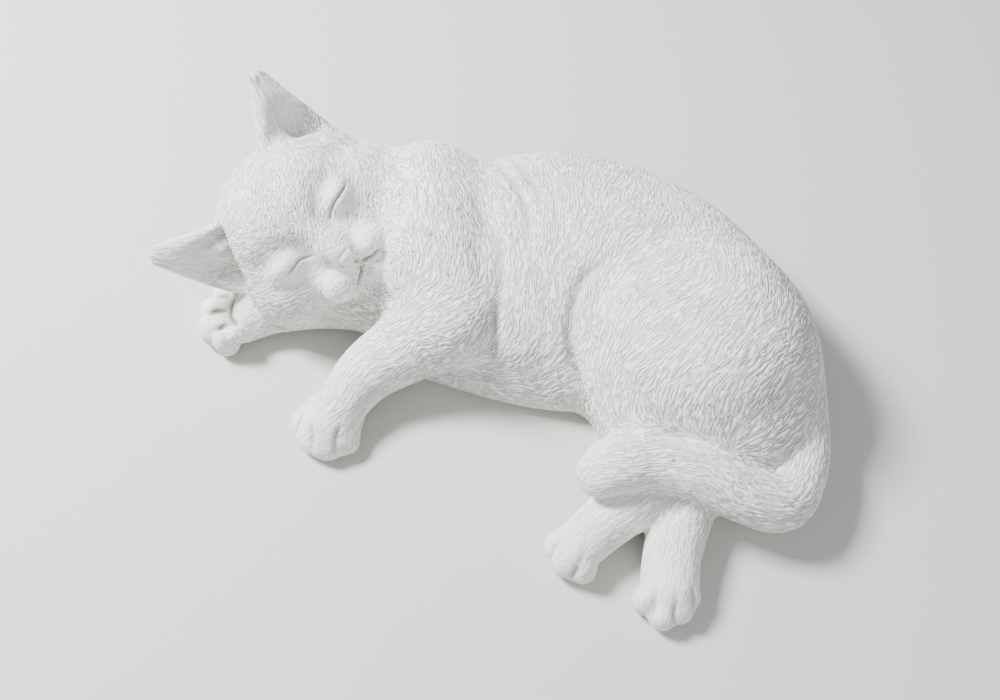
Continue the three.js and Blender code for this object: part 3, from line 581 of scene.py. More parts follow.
# Limbs and ears that the coat runs along: how far off they are felt, how strongly against the
# headings above, and over what distance that fades.
COAT_LIMBS = [FOREARM, PILLOW_ARM, UPPER_HIND_FOOT, LOWER_HIND_FOOT, TAIL]
LIMB_REACH = 40
LIMB_PULL = 40
LIMB_FADE = 2
EAR_REACH = 30
EAR_PULL = 20
EAR_FADE = 16

# The strokes of the coat, in millimetres where they are lengths.
STROKE_WIDTH = 0.85         # the cell of the grain that the strokes are drawn out of
STROKE_LENGTH = 8.5         # a stroke from end to end
STROKE_SAMPLES = 17         # places along a stroke that are added up
STROKE_TAPER = 0.9          # how far it dies away at its ends, 1 being wholly
STROKE_HEIGHT = 0.6         # from the bottom of a hollow to the top of a ridge
STROKE_CUT = 0.6            # share of that height which is cut into the skin
HOLLOW = -0.30              # the grain's value at the bottom of a hollow
RIDGE = 0.16                # and where a ridge is full
HEAD_STROKES = 1.25         # how much finer the strokes are on the head
HEAD_REACH = 72             # how far from the head's centre that is half gone
HEAD_FADE = 6
SWIRL = radians(22)         # how far the lie of the coat wanders
SWIRL_SIZE = 32
WAVE = 1.28                 # how far strokes waver from side to side
WAVE_SIZE = 7
WAVE_SHIFTS = (11, 23, 37)  # so that x, y and z don't waver together

# Where a stroke is felt: shares of its length either side of a point, and how strongly.
ALONG_STROKE = np.linspace(-0.5, 0.5, STROKE_SAMPLES)
STROKE_SHARES = np.cos(pi * ALONG_STROKE * STROKE_TAPER) ** 2
STROKE_SHARES = STROKE_SHARES / np.sqrt((STROKE_SHARES**2).sum())


# What Blender's own noise starts its mixing of bits with, and what it scales its values by.
NOISE_START = np.uint32(0xDEADBEEF + 12 + 13)
NOISE_SCALE = np.float32(0.982)


def turned_bits(value, by):
    """The 32 bits of a number, turned round to the left."""
    return (value << np.uint32(by)) | (value >> np.uint32(32 - by))


def scrambled(x, y, z):
    """A random number from 0 to 15 for each cell of space, as in Blender's noise texture."""
    a, b, c = NOISE_START + x, NOISE_START + y, NOISE_START + z
    c = (c ^ b) - turned_bits(b, 14)
    a = (a ^ c) - turned_bits(c, 11)
    b = (b ^ a) - turned_bits(a, 25)
    c = (c ^ b) - turned_bits(b, 16)
    a = (a ^ c) - turned_bits(c, 4)
    b = (b ^ a) - turned_bits(a, 14)
    c = (c ^ b) - turned_bits(b, 24)
    return c & np.uint32(15)


# The slope of the noise at the corner of a cell, for each of the 16 numbers.
SLOPES = np.array([
    (1, 1, 0), (-1, 1, 0), (1, -1, 0), (-1, -1, 0), (1, 0, 1), (-1, 0, 1), (1, 0, -1),
    (-1, 0, -1), (0, 1, 1), (0, -1, 1), (0, 1, -1), (0, -1, -1), (1, 1, 0), (0, -1, 1),
    (-1, 1, 0), (0, -1, -1),
], np.float32)


def noise(points, size=1, shift=0):
    """Smooth random values from about -1 to 1, as Blender's noise texture makes them with no
    finer detail, with features of about that size."""
    place = [np.ascontiguousarray(axis, np.float32) / np.float32(size) + np.float32(shift)
             for axis in points.T]
    cell = [np.floor(axis) for axis in place]
    share = [axis - whole for axis, whole in zip(place, cell)]
    fade = [t * t * t * (t * (t * 6 - 15) + 10) for t in share]
    cell = [whole.astype(np.int32).astype(np.uint32) for whole in cell]
    total = np.zeros(len(points), np.float32)
    for corner in CORNERS:
        pick = scrambled(*[whole + np.uint32(step) for whole, step in zip(cell, corner)])
        value = 0
        weight = NOISE_SCALE
        for t, f, step, slope in zip(share, fade, corner, SLOPES.T):
            value = value + (t - np.float32(step)) * slope[pick]
            weight = weight * (f if step else 1 - f)
        total += weight * value
    return total


def near_line(points, line, reach):
    """The points within reach of a line: their numbers, their distances from it, its direction
    there, and how far along it they are, from 0 to 1."""
    line = np.asarray(line, float)
    inside = (points > line[:, :3].min(0) - reach) & (points < line[:, :3].max(0) + reach)
    chosen = np.flatnonzero(inside.all(1))
    nearest = np.full(len(chosen), np.inf)
    direction = np.zeros((len(chosen), 3))
    share = np.zeros(len(chosen))
    for i, (a, b) in enumerate(zip(line[:-1], line[1:])):
        along = (b - a)[:3]
        away = points[chosen] - a[:3]
        t = np.clip(away @ along / max(along @ along, 1e-9), 0, 1)
        gap = np.linalg.norm(away - t[:, None] * along, axis=1)
        if line.shape[1] > 3:
            gap -= a[3] + t * (b[3] - a[3])
        closer = gap < nearest
        nearest[closer] = gap[closer]
        direction[closer] = unit(along)
        share[closer] = (i + t[closer]) / (len(line) - 1)
    return chosen, nearest, direction, share


def comb(direction, chosen, along, pull):
    """Turns the lie of the coat at the chosen points towards a line, whichever way it runs."""
    agree = (direction[chosen] * along).sum(1)
    direction[chosen] += (pull * np.where(agree < 0, -1, 1))[:, None] * along


def lie_of_the_coat(points, normals):
    """The direction of the strokes at each point, along the surface. A stroke runs the same
    forward and back, so headings are doubled while they are blended."""
    guides = np.array(COAT, np.float32)
    heading = np.radians(guides[:, 3]) * 2
    lie = np.zeros((len(points), 2), np.float32)
    for first in range(0, len(points), POINTS_AT_ONCE):
        part = slice(first, first + POINTS_AT_ONCE)
        near = points[part].astype(np.float32)
        gap = sum((near[:, axis, None] - guides[None, :, axis]) ** 2 for axis in range(3))
        gap -= gap.min(1, keepdims=True)
        weight = np.exp(-gap / (2 * COAT_BLEND**2))
        lie[part, 0] = weight @ np.cos(heading)
        lie[part, 1] = weight @ np.sin(heading)
    heading = np.arctan2(lie[:, 1], lie[:, 0]) / 2
    level = np.stack([np.cos(heading), np.sin(heading)], 1)
    upright = np.maximum(np.abs(normals[:, 2]), STEEPEST) * np.where(normals[:, 2] < 0, -1, 1)
    rise = -(level * normals[:, :2]).sum(1) / upright
    direction = unit(np.column_stack([level, rise]))
    for limb in COAT_LIMBS:
        chosen, gap, along, _ = near_line(points, smooth_curve(limb), LIMB_REACH)
        comb(direction, chosen, along, LIMB_PULL * np.exp(-np.maximum(gap, 0) / LIMB_FADE))
    for _, base, middle, tip, _ in EARS:
        chosen, gap, along, _ = near_line(points, on_head([base, middle, tip]), EAR_REACH)
        comb(direction, chosen, along, EAR_PULL * np.exp(-((gap / EAR_FADE) ** 2)))
    direction = unit(direction - normals * (direction * normals).sum(1)[:, None])
    turn = (SWIRL * noise(points, SWIRL_SIZE))[:, None]
    return direction * np.cos(turn) + np.cross(normals, direction) * np.sin(turn)


def grain_place(points):
    """Where each point lies in the grain that the strokes are drawn out of, in its cells."""
    sway = np.stack([noise(points, WAVE_SIZE, shift) for shift in WAVE_SHIFTS], 1)
    from_head = points - HEAD_CENTRE
    beyond = (np.linalg.norm(from_head, axis=1) - HEAD_REACH) / HEAD_FADE
    share = 1 / (1 + np.exp(beyond))
    spread = points + (HEAD_STROKES - 1) * share[:, None] * from_head
    return (spread + WAVE * sway) / STROKE_WIDTH


def strokes(place, direction):
    """The height of the carved strokes at each point, from 0 in a hollow to 1 on a ridge."""
    total = 0
    for along, share in zip(ALONG_STROKE, STROKE_SHARES):
        total = total + share * noise(place + along * STROKE_LENGTH / STROKE_WIDTH * direction)
    rise = np.clip((total - HOLLOW) / (RIDGE - HOLLOW), 0, 1)
    return rise * rise * (3 - 2 * rise)


# Where the coat is faint or bare: in the head's frame, then in the model's. Each has a centre,
# a radius, and how much of the coat it takes away.
BARE_ON_HEAD = [
    ((0, -22, 52), 9, 1.0),                                 # nose leather
    ((0, -10, 30), 46, 0.4),                                # face
    ((24, -2, 33), 12, 0.85), ((-23, -4, 34), 12, 0.85),    # lids
    ((12, -9, 40), 7, 0.7), ((-12, -9, 40), 7, 0.7),        # corners of the eyes
    ((14, -30, 44), 13, 0.75), ((-14, -30, 44), 13, 0.75),  # whisker pads
    ((5, -42, 42), 11, 0.75),                               # chin
    ((48, 50, -6), 20, 0.6), ((-54, 40, -8), 22, 0.6),      # ears
]
BARE = [
    ((-174, 38, 16), 25, 0.95), ((-106, -42, 14), 22, 0.7), ((40, -118, 14), 22, 0.7),
    ((94, -144, 12), 24, 0.7), ((98, -120, 20), 24, 0.4), ((65, -97, 24), 24, 0.4),
    ((60, -78, 45), 20, 0.5), ((100, -77, 44), 26, 0.3), ((-85, -10, 28), 26, 0.3),
]

# The coat's depth is patchy everywhere, and fades out at the ground.
COAT_DEPTH = 0.85
PATCHINESS = 0.25
PATCH_SIZE = 14
PATCH_SHIFT = 5             # so that the patches don't follow the swirls
BARE_HEIGHT = 0.6           # height above the ground that has no coat
GROUND_FADE = 3             # how much further up the coat is full


def depth_of_coat(points):
    """How deep the strokes are at each point, from 0 to 1."""
    share = np.ones(len(points))
    spots = [(on_head([centre])[0], radius, bare) for centre, radius, bare in BARE_ON_HEAD]
    for centre, radius, bare in spots + BARE:
        gap = ((points - centre) ** 2).sum(1) / radius**2
        share *= 1 - bare * np.exp(-gap**2)
    patchy = COAT_DEPTH + PATCHINESS * noise(points, PATCH_SIZE, PATCH_SHIFT)
    above = np.clip((points[:, 2] - BARE_HEIGHT) / GROUND_FADE, 0, 1)
    return share * patchy * above


# Fine lines of the face in the head's frame: the line, its width, and its depth, which is
# below zero where a line is raised. Pairs are the same on both sides.
FACE_PAIRS = [
    # edges of the lower and the upper lid
    ([(32, -4.5, 30), (28, -4, 34), (23, -3.6, 37), (19, -4, 39), (16, -6, 40)], 2.0, -0.4),
    ([(32, 1, 30), (27, 2, 35), (21, 2, 38), (16, 1, 41)], 2.2, -0.25),
    # whisker lines
    ([(18, -22, 44), (14, -25, 47), (9, -26, 49)], 0.9, 0.25),
    ([(22, -28, 44), (18, -30, 48), (13, -31, 49), (8, -30, 50)], 0.9, 0.25),
    # nostril
    ([(7.5, -19.5, 53), (8, -22, 53), (5.5, -23.5, 53)], 1.0, 0.8),
    # edge of the whisker pad
    ([(18, -18, 45), (26, -24, 39), (28, -31, 34), (23, -38, 34)], 2.2, 0.8),
]
FACE_LINES = [
    # lash lines, left and right
    ([(37, -1, 27), (32, -1, 31), (27, -0.5, 35), (22, -0.5, 37), (18, -1.5, 39), (15, -3, 41),
      (11, -7, 43)], 1.0, 1.3),
    ([(-30, -3, 35), (-25, -3, 37), (-21, -3, 38), (-17, -3.5, 40), (-14, -5, 41),
      (-11, -7, 43)], 1.0, 1.3),
    # top of the nose leather
    ([(7, -18, 54), (0, -17, 55), (-7, -18, 54)], 0.9, 0.6),
    # philtrum, and the mouth to the left and the right of it
    ([(1, -27, 52), (2, -31, 49)], 1.1, 1.8),
    ([(2, -31, 49), (5, -33, 48), (9, -35, 48), (13, -35.5, 48), (16, -36, 46)], 1.2, 2.0),
    ([(2, -31, 49), (-1, -35, 47), (-5, -37, 46), (-9, -38, 44), (-14, -38, 41)], 1.2, 2.0),
]

# The part of the face that is kept as fine as it is carved.
FACE_MIDDLE = (2, -17, 38)  # in the head's frame
FACE_RADIUS = 37

# Grooves between the toes, in the model's frame.
TOE_LINES = [
    [(-98, -38, 20), (-99, -46, 18), (-100, -54, 10)],
    [(-108, -37, 20), (-110, -46, 17), (-112, -54, 9)],
    [(-114, -33, 19), (-119, -39, 16), (-126, -44, 8)],
    [(88, -136, 20), (86, -146, 17), (84, -155, 9)],
    [(96, -138, 21), (95.5, -149, 17), (95.5, -159, 9)],
    [(102, -136, 20), (104, -145, 15), (107, -153, 9)],
    [(42, -110, 22), (35, -116, 18), (28, -122, 9)],
    [(47, -114, 22), (42, -123, 17), (38, -132, 9)],
]
TOE_LINE_WIDTH = 1.7
TOE_LINE_DEPTH = 1.3

# Grooves between the pads of the pillow paw, which shows its sole.
PAD_LINES = [
    [(-165, 54, 20), (-167, 49, 25), (-169, 43, 25), (-169, 32, 25), (-166, 27, 25),
     (-160, 22, 20)],
    [(-170, 46, 25), (-178, 47.5, 24), (-187, 48, 14)],
    [(-170, 36, 25), (-180, 36, 24), (-191, 36, 14)],
    [(-166, 27, 25), (-175, 26, 23), (-182, 22, 12)],
]
PAD_LINE_WIDTH = 1.5
PAD_LINE_DEPTH = 2.2

# Creases at the bottom of the folds, where the coat parts: the line, its width and its depth.
CREASES = [
    (HAUNCH_FOLD, 2.6, 1.5),
    (ELBOW_FOLD, 2.4, 1.3),
    (SHOULDER_FOLD, 2.2, 1.2),
    # one more thin fold of skin, behind the shoulder's
    ([(8, 120, 62), (14, 100, 80), (21, 84, 86), (25, 66, 88)], 2.2, 1.0),
]

LINE_RISE = 6               # how quickly a line deepens from its ends
DARKEST_LINE_DEPTH = 2.2           # depth of a line whose bottom is fully darkened: dust, and painted shade in the line


def carved_lines(clay):
    """Each fine line, settled on the skin, with its width and its depth."""
    lines = [(on_head(line), width, depth) for line, width, depth in FACE_LINES]
    for side in (-1, 1):
        lines += [(on_head(mirrored(line, side)), width, depth)
                  for line, width, depth in FACE_PAIRS]
    lines += [(line, TOE_LINE_WIDTH, TOE_LINE_DEPTH) for line in TOE_LINES]
    lines += [(line, PAD_LINE_WIDTH, PAD_LINE_DEPTH) for line in PAD_LINES]
    lines += CREASES
    return [(smooth_curve(clay.settle(line)), width, depth) for line, width, depth in lines]


def press_of_line(points, line, width):
    """The points near a fine line, and how strongly each feels it, fading at its ends."""
    chosen, gap, _, share = near_line(points, line, LINE_REACH * width)
    fade = np.minimum(LINE_RISE * share * (1 - share), 1)
    return chosen, fade * np.exp(-((gap / width) ** 2))


def carve_details(clay, points, normals):
    """Carves the lines of the face, the grooves of the paws and the creases of the folds."""
    for line, width, depth in carved_lines(clay):
        chosen, press = press_of_line(points, line, width)
        points[chosen] -= depth * press[:, None] * normals[chosen]


def dust_and_painted_shade_in_lines(clay, points):
    """How darkened each point in the deeper of the fine lines is, from 0 to 1: dust, and painted
    shade in the line.
    """
    dust_and_shade = np.zeros(len(points))
    for line, width, depth in carved_lines(clay):
        chosen, press = press_of_line(points, line, width)
        dust_and_shade[chosen] = np.maximum(dust_and_shade[chosen], press * np.clip(depth / DARKEST_LINE_DEPTH, 0, 1))
    return dust_and_shade


def mesh_from(points, faces, name):
    """A mesh of equal faces, from points in millimetres."""
    mesh = bpy.data.meshes.new(name)
    size = faces.shape[1]
    mesh.vertices.add(len(points))
    move_points(mesh, points)
    mesh.loops.add(faces.size)
    mesh.loops.foreach_set("vertex_index", faces.ravel().astype(np.int32))
    mesh.polygons.add(len(faces))
    mesh.polygons.foreach_set("loop_start", np.arange(0, faces.size, size, dtype=np.int32))
    mesh.update(calc_edges=True)
    return mesh


def read_points(mesh):
    """The places of a mesh's points in millimetres, as rows."""
    places = np.empty(3 * len(mesh.vertices), np.float32)
    mesh.vertices.foreach_get("co", places)
    return places.reshape(-1, 3).astype(float) / MM


def move_points(mesh, points):
    """Moves a mesh's points to places in millimetres."""
    mesh.vertices.foreach_set("co", (points * MM).astype(np.float32).ravel())


def spread_over(places, values, count):
    """The mean of the values that fall on each place."""
    totals = [np.bincount(places, axis, count) for axis in values.T]
    return np.stack(totals, 1) / np.bincount(places, minlength=count)[:, None]


def finer(points, quads):
    """The skin with each quad in four, its points drawn to a smooth surface."""
    count = len(points)
    ends = np.stack([quads, np.roll(quads, -1, axis=1)], 2).reshape(-1, 2)
    keys = np.minimum(*ends.T) * count + np.maximum(*ends.T)
    edges, numbers = np.unique(keys, return_inverse=True)
    edges = np.stack([edges // count, edges % count], 1)
    faces = points[quads].mean(1)
    middles = points[edges].mean(1)
    near_faces = spread_over(numbers, np.repeat(faces, 4, axis=0), len(edges))
    on_edges = (middles + near_faces) / 2
    rings = np.bincount(quads.ravel(), minlength=count)[:, None]
    mean_faces = spread_over(quads.ravel(), np.repeat(faces, 4, axis=0), count)
    mean_edges = spread_over(edges.ravel(), np.repeat(middles, 2, axis=0), count)
    corners = (mean_faces + 2 * mean_edges + (rings - 3) * points) / rings
    numbers = numbers.reshape(-1, 4) + count
    centres = np.arange(len(quads)) + count + len(edges)
    parts = [np.stack([quads[:, i], numbers[:, i], centres, numbers[:, i - 1]], 1)
             for i in range(4)]
    return np.vstack([corners, on_edges, faces]), np.vstack(parts)


def outward(points, quads):
    """The normal of the skin at each point."""
    across = points[quads[:, 2]] - points[quads[:, 0]]
    flat = np.cross(across, points[quads[:, 3]] - points[quads[:, 1]])
    return unit(spread_over(quads.ravel(), np.repeat(flat, 4, axis=0), len(points)))


def thinned(mesh, keep):
    """The mesh with no more triangles than it may have, the flattest joined first, and the
    points to keep left as fine as they are."""
    holder = bpy.data.objects.new("uncut", mesh)
    bpy.context.scene.collection.objects.link(holder)
    triangles = 2 * len(mesh.polygons)
    modifier = holder.modifiers.new("thinner", "DECIMATE")
    modifier.ratio = MOST_TRIANGLES / triangles
    modifier.use_collapse_triangulate = True
    face = holder.vertex_groups.new(name="face")
    face.add(keep.tolist(), 1.0, "REPLACE")
    modifier.vertex_group = face.name
    modifier.invert_vertex_group = True
    graph = bpy.context.evaluated_depsgraph_get()
    result = bpy.data.meshes.new_from_object(holder.evaluated_get(graph))
    bpy.data.objects.remove(holder)
    return result


def carve_cat():
    """The cat's skin with its face, folds and coat, standing where the CAD solid stands."""
    clay = model_cat()
    points, quads = finer(*clay.skin())
    normals = outward(points, quads)
    middle = (points.min(0) + points.max(0)) / 2
    carve_details(clay, points, normals)
    direction = lie_of_the_coat(points, normals)
    rise = strokes(grain_place(points), direction) - STROKE_CUT
    points += (STROKE_HEIGHT * depth_of_coat(points) * rise)[:, None] * normals
    points[:, 2] = np.maximum(points[:, 2], 0)
    from_face = np.linalg.norm(points - on_head([FACE_MIDDLE])[0], axis=1)
    keep = np.flatnonzero(from_face < FACE_RADIUS)
    thin = thinned(mesh_from(points, quads, "cat_uncut"), keep)
    thin.name = "cat_carved"
    thin.shade_smooth()
    record_coat(thin, clay)
    move_points(thin, read_points(thin) - (middle[0], middle[1], 0))
    return thin


def record_coat(mesh, clay):
    """Writes on the mesh what its material draws from: the place of each point in the grain,
    the lie of the coat at each corner of each face, how deep the coat is, how thick the air
    holes are, and where the fine lines are darkened with dust and painted shade."""
    points = clay.settle(read_points(mesh), MESH_SETTLING_ROUNDS)
    normals = unit(clay.slope(points))
    place = grain_place(points)
    lie = lie_of_the_coat(points, normals) * STROKE_LENGTH / STROKE_WIDTH
    depth = depth_of_coat(points)
    corners = np.empty(len(mesh.loops), np.int32)
    mesh.loops.foreach_get("vertex_index", corners)
    corners = corners.reshape(-1, 3)
    lies = lie[corners]
    same_way = (lies * lies[:, :1]).sum(2, keepdims=True) >= 0
    lies = np.where(same_way, lies, -lies)
    kinds = (
        ("grain_place", "FLOAT_VECTOR", "POINT", "vector", place),
        ("coat_lie", "FLOAT_VECTOR", "CORNER", "vector", lies),
        ("coat_depth", "FLOAT", "POINT", "value", depth),
        ("air_holes", "FLOAT", "POINT", "value", air_holes(points)),
        ("line_dust_and_shade", "FLOAT", "POINT", "value", dust_and_painted_shade_in_lines(clay, points)),
    )
    for name, kind, domain, field, values in kinds:
        layer = mesh.attributes.new(name, kind, domain)
        layer.data.foreach_set(field, values.astype(np.float32).ravel())


# Where air was caught against the mould: a centre, a radius, and how thick the holes are.
AIR_HOLES = [
    ((-125, 58, 100), 32, 0.6), ((-98, 62, 90), 26, 0.65), ((-70, 75, 88), 26, 0.9),
    ((-62, 48, 82), 26, 1.0), ((-72, 25, 58), 28, 1.0), ((-38, 50, 92), 26, 0.55),
    ((-92, 32, 66), 22, 0.8), ((-150, 45, 84), 22, 0.45), ((-98, 10, 40), 22, 0.5),
    ((-80, 45, 74), 16, 1.0),
]
FEWEST_AIR_HOLES = 0.14     # how thick they are everywhere else


def air_holes(points):
    """How thick the air holes are at each point, from 0 to 1."""
    total = np.full(len(points), FEWEST_AIR_HOLES)
    for centre, radius, share in AIR_HOLES:
        gap = ((points - centre) ** 2).sum(1) / radius**2
        total = np.maximum(total, share * np.exp(-gap))
    return total


def linear(code):
    """An sRGB hex colour as linear red, green, blue and opaque alpha."""
    channels = [int(code[i:i + 2], 16) / 255 for i in (1, 3, 5)]
    return [c / 12.92 if c <= 0.04045 else ((c + 0.055) / 1.055) ** 2.4 for c in channels] + [1]


def add_node(tree, kind, inputs=None, **settings):
    """Adds a node with its settings, and sets or links each of its inputs."""
    node = tree.nodes.new(kind)
    for name, value in settings.items():
        setattr(node, name, value)
    for socket, value in (inputs or {}).items():
        if isinstance(value, bpy.types.NodeSocket):
            tree.links.new(value, node.inputs[socket])
        else:
            node.inputs[socket].default_value = value
    return node


def carved_strokes(tree):
    """The strokes as the carving has them, from the place in the grain and the coat's lie."""
    place = add_node(tree, "ShaderNodeAttribute", attribute_name="grain_place")
    lie = add_node(tree, "ShaderNodeAttribute", attribute_name="coat_lie")
    # The noise node runs from 0 to 1, so its value is doubled, less one for each sample.
    total = -float(STROKE_SHARES.sum())
    for along, share in zip(ALONG_STROKE.tolist(), STROKE_SHARES.tolist()):
        spot = add_node(tree, "ShaderNodeVectorMath", {
            0: lie.outputs["Vector"], 1: (along,) * 3, 2: place.outputs["Vector"],
        }, operation="MULTIPLY_ADD").outputs[0]
        grain = add_node(tree, "ShaderNodeTexNoise", {
            "Vector": spot, "Scale": 1.0, "Detail": 0.0,
        }).outputs["Fac"]
        total = add_node(tree, "ShaderNodeMath", {0: grain, 1: 2 * share, 2: total},
                         operation="MULTIPLY_ADD").outputs[0]
    return add_node(tree, "ShaderNodeMapRange", {
        "Value": total, "From Min": HOLLOW, "From Max": RIDGE,
    }, interpolation_type="SMOOTHSTEP").outputs["Result"]


# The cement's colours in sRGB, with the painted shade of its hollows and air holes, and what
# it shows close to, in millimetres.
THICK_MILK = "#EBECE8"
THIN_MILK = "#F4F4F0"
MILK_PATCH = 30
# dust in the hollows and fine lines, and the shade painted into them
DUST_AND_PAINTED_SHADE = "#7E7E75"
HOLLOW_SHADE = 0.50         # how much of the colour of dust and painted shade shows at the bottom of a hollow
# painted shade in each air hole, where the mesh has no pit
AIR_HOLE_PAINTED_SHADE = "#66645C"
AIR_HOLE_SPACING = 1.6
WIDEST_AIR_HOLE = 0.31      # radius, in spacings
SAND_GRAIN = 0.8            # real grains are 0.3 to 0.5, too fine to show
SAND_HEIGHT = 0.4
STROKE_RELIEF = 0.7         # height of the strokes that is finer than the mesh


def white_cement_cast():
    """White cement poured into a rubber mould, knocked out and left bare."""
    material = bpy.data.materials.new("white_cement_cast")
    material.use_nodes = True
    tree = material.node_tree
    tree.nodes.clear()
    place = add_node(tree, "ShaderNodeTexCoord").outputs["Object"]
    # Thin milk of cement over fine marble sand: broad pale patches, cooler where it is thick.
    patches = add_node(tree, "ShaderNodeTexNoise", {
        "Vector": place, "Scale": 1 / (MILK_PATCH * MM), "Detail": 4.0, "Roughness": 0.55,
    }).outputs["Fac"]
    base = add_node(tree, "ShaderNodeValToRGB", {"Fac": patches})
    thick, thin = base.color_ramp.elements
    thick.position = 0.3
    thick.color = linear(THICK_MILK)
    thin.position = 0.7
    thin.color = linear(THIN_MILK)
    ridges = carved_strokes(tree)
    depth = add_node(tree, "ShaderNodeAttribute", attribute_name="coat_depth").outputs["Fac"]
    # Darker in the hollows between the strokes: dust and weather that stay there, and shade
    # painted into them.
    hollow = add_node(tree, "ShaderNodeMath", {0: 1.0, 1: ridges}, operation="SUBTRACT")
    hollow = add_node(tree, "ShaderNodeMath", {0: hollow.outputs[0], 1: depth},
                      operation="MULTIPLY").outputs[0]
    hollow = add_node(tree, "ShaderNodeMath", {0: hollow, 1: HOLLOW_SHADE},
                      operation="MULTIPLY").outputs[0]
    # The fine lines are darkened the same way, with dust and painted shade.
    lines = add_node(tree, "ShaderNodeAttribute", attribute_name="line_dust_and_shade").outputs["Fac"]
    hollow = add_node(tree, "ShaderNodeMath", {0: hollow, 1: lines},
                      operation="MAXIMUM").outputs[0]
    colour = add_node(tree, "ShaderNodeMix", {"Factor": hollow, 6: base.outputs["Color"],
                      7: linear(DUST_AND_PAINTED_SHADE)}, data_type="RGBA").outputs[2]
    # Air holes of up to 1 mm, which show as dark specks: painted shade where each pit would be,
    # as the mesh has no pits.
    cells = add_node(tree, "ShaderNodeTexVoronoi", {
        "Vector": place, "Scale": 1 / (AIR_HOLE_SPACING * MM),
    })
    crowd = add_node(tree, "ShaderNodeAttribute", attribute_name="air_holes").outputs["Fac"]
    pick = add_node(tree, "ShaderNodeSeparateColor", {"Color": cells.outputs["Color"]})
    size = add_node(tree, "ShaderNodeMath", {0: crowd, 1: pick.outputs[0]},
                    operation="SUBTRACT").outputs[0]
    size = add_node(tree, "ShaderNodeMapRange", {
        "Value": size, "From Min": 0.0, "From Max": 0.3, "To Min": 0.0,
        "To Max": WIDEST_AIR_HOLE,
    }).outputs["Result"]
    hole = add_node(tree, "ShaderNodeMath", {0: size, 1: cells.outputs["Distance"]},
                    operation="SUBTRACT").outputs[0]
    hole = add_node(tree, "ShaderNodeMapRange", {
        "Value": hole, "From Min": 0.0, "From Max": 0.05,
    }).outputs["Result"]
    colour = add_node(tree, "ShaderNodeMix", {"Factor": hole, 6: colour,
                      7: linear(AIR_HOLE_PAINTED_SHADE)}, data_type="RGBA").outputs[2]
    # Sand grains, drawn coarser than they are so that they show.
    grain = add_node(tree, "ShaderNodeTexNoise", {
        "Vector": place, "Scale": 1 / (SAND_GRAIN * MM), "Detail": 3.0, "Roughness": 0.7,
    }).outputs["Fac"]
    bump = add_node(tree, "ShaderNodeBump", {
        "Height": grain, "Strength": 0.35, "Distance": SAND_HEIGHT * MM,
    }).outputs["Normal"]
    # The strokes again, for what is finer than the mesh.
    relief = add_node(tree, "ShaderNodeMath", {0: ridges, 1: depth}, operation="MULTIPLY")
    bump = add_node(tree, "ShaderNodeBump", {
        "Height": relief.outputs[0], "Strength": 1.0, "Distance": STROKE_RELIEF * MM,
        "Normal": bump,
    }).outputs["Normal"]
    shader = add_node(tree, "ShaderNodeBsdfPrincipled", {
        "Base Color": colour, "Roughness": 0.88, "IOR": 1.5, "Normal": bump,
        "Specular IOR Level": 0.35,
    }).outputs["BSDF"]
    add_node(tree, "ShaderNodeOutputMaterial", {"Surface": shader})
    return material


# The studio, in metres and watts.
FLOOR_COLOUR = "#C9C9C4"
FLOOR_HALF = 3.0            # from its middle to its edges
FLOOR_DROP = 0.0002         # below the cat's underside, so that the two don't flicker
LIGHTS_AIM = Vector((0, 0, 0.04))
# Each soft box: its name, its place, its width and its power.
SOFT_BOXES = [("key", (-0.8, 0.35, 1.1), 0.35, 62), ("fill", (0.6, -1.1, 0.9), 1.2, 6)]
BACKDROP_COLOUR = "#F4F6FA"
BACKDROP_STRENGTH = 0.6


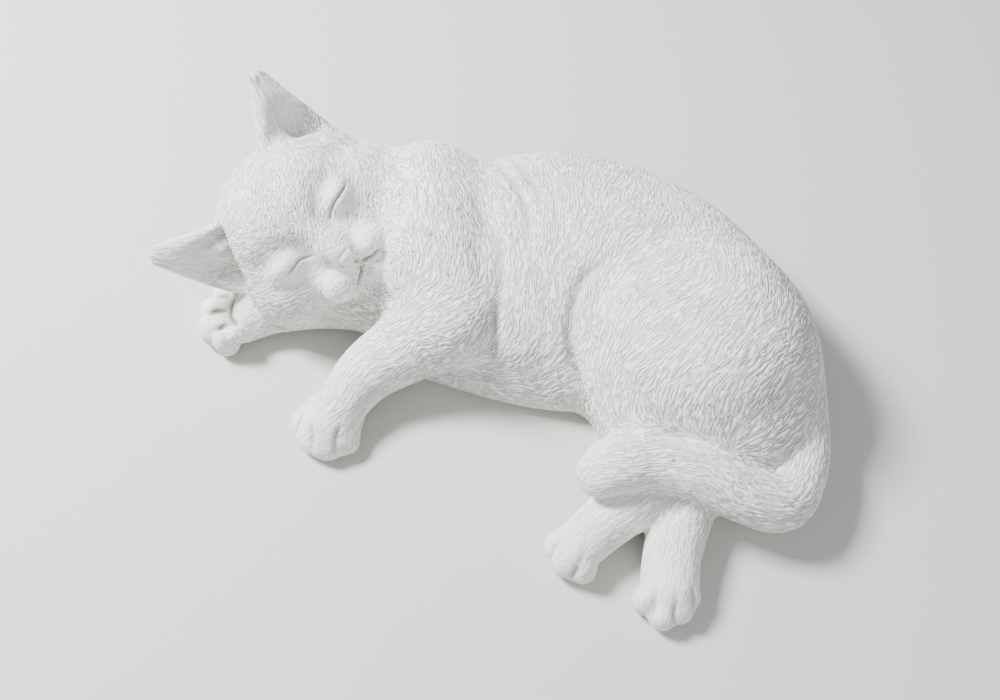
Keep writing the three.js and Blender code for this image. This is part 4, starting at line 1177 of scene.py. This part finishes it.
def studio_floor():
    """A plain pale floor under the cat."""
    material = bpy.data.materials.new("pale_floor")
    material.use_nodes = True
    tree = material.node_tree
    tree.nodes.clear()
    shader = add_node(tree, "ShaderNodeBsdfPrincipled", {
        "Base Color": linear(FLOOR_COLOUR), "Roughness": 0.9,
    }).outputs["BSDF"]
    add_node(tree, "ShaderNodeOutputMaterial", {"Surface": shader})
    mesh = bpy.data.meshes.new("floor")
    signs = [(-1, -1), (1, -1), (1, 1), (-1, 1)]
    corners = [(x * FLOOR_HALF, y * FLOOR_HALF, -FLOOR_DROP) for x, y in signs]
    mesh.from_pydata(corners, [], [(0, 1, 2, 3)])
    mesh.materials.append(material)
    floor = bpy.data.objects.new("floor", mesh)
    bpy.context.scene.collection.objects.link(floor)


def soft_box(name, place, width, power):
    """A square soft box that faces the cat."""
    light = bpy.data.lights.new(name, "AREA")
    light.shape = "SQUARE"
    light.size = width
    light.energy = power
    box = bpy.data.objects.new(name, light)
    box.location = place
    box.rotation_euler = (LIGHTS_AIM - Vector(place)).to_track_quat("-Z", "Y").to_euler()
    bpy.context.scene.collection.objects.link(box)


def light_the_studio():
    for box in SOFT_BOXES:
        soft_box(*box)
    world = bpy.data.worlds.new("studio")
    bpy.context.scene.world = world
    world.use_nodes = True
    backdrop = world.node_tree.nodes["Background"]
    backdrop.inputs["Color"].default_value = linear(BACKDROP_COLOUR)
    backdrop.inputs["Strength"].default_value = BACKDROP_STRENGTH


# The camera looks down on the cat from its belly side. Its places are in metres, and its lens
# and sensor in millimetres.
CAMERA_AIM = Vector((0.0071, 0.00865, 0.040))
CAMERA_DISTANCE = 0.6
CAMERA_ELEVATION = radians(62)
LENS = 36
SENSOR_WIDTH = 36
NEAREST = 0.01              # what is nearer than this isn't drawn


def set_camera():
    data = bpy.data.cameras.new("camera")
    data.sensor_width = SENSOR_WIDTH
    data.lens = LENS
    data.clip_start = NEAREST
    camera = bpy.data.objects.new("camera", data)
    back = Vector((0, -cos(CAMERA_ELEVATION), sin(CAMERA_ELEVATION)))
    camera.location = CAMERA_AIM + CAMERA_DISTANCE * back
    camera.rotation_euler = (-back).to_track_quat("-Z", "Y").to_euler()
    bpy.context.scene.collection.objects.link(camera)
    bpy.context.scene.camera = camera


set_camera()
carved = bpy.data.objects.new("cat_carved", carve_cat())
bpy.context.scene.collection.objects.link(carved)
carved.data.materials.clear()
carved.data.materials.append(white_cement_cast())
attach(carved, "root")
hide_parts("cat")
studio_floor()
light_the_studio()
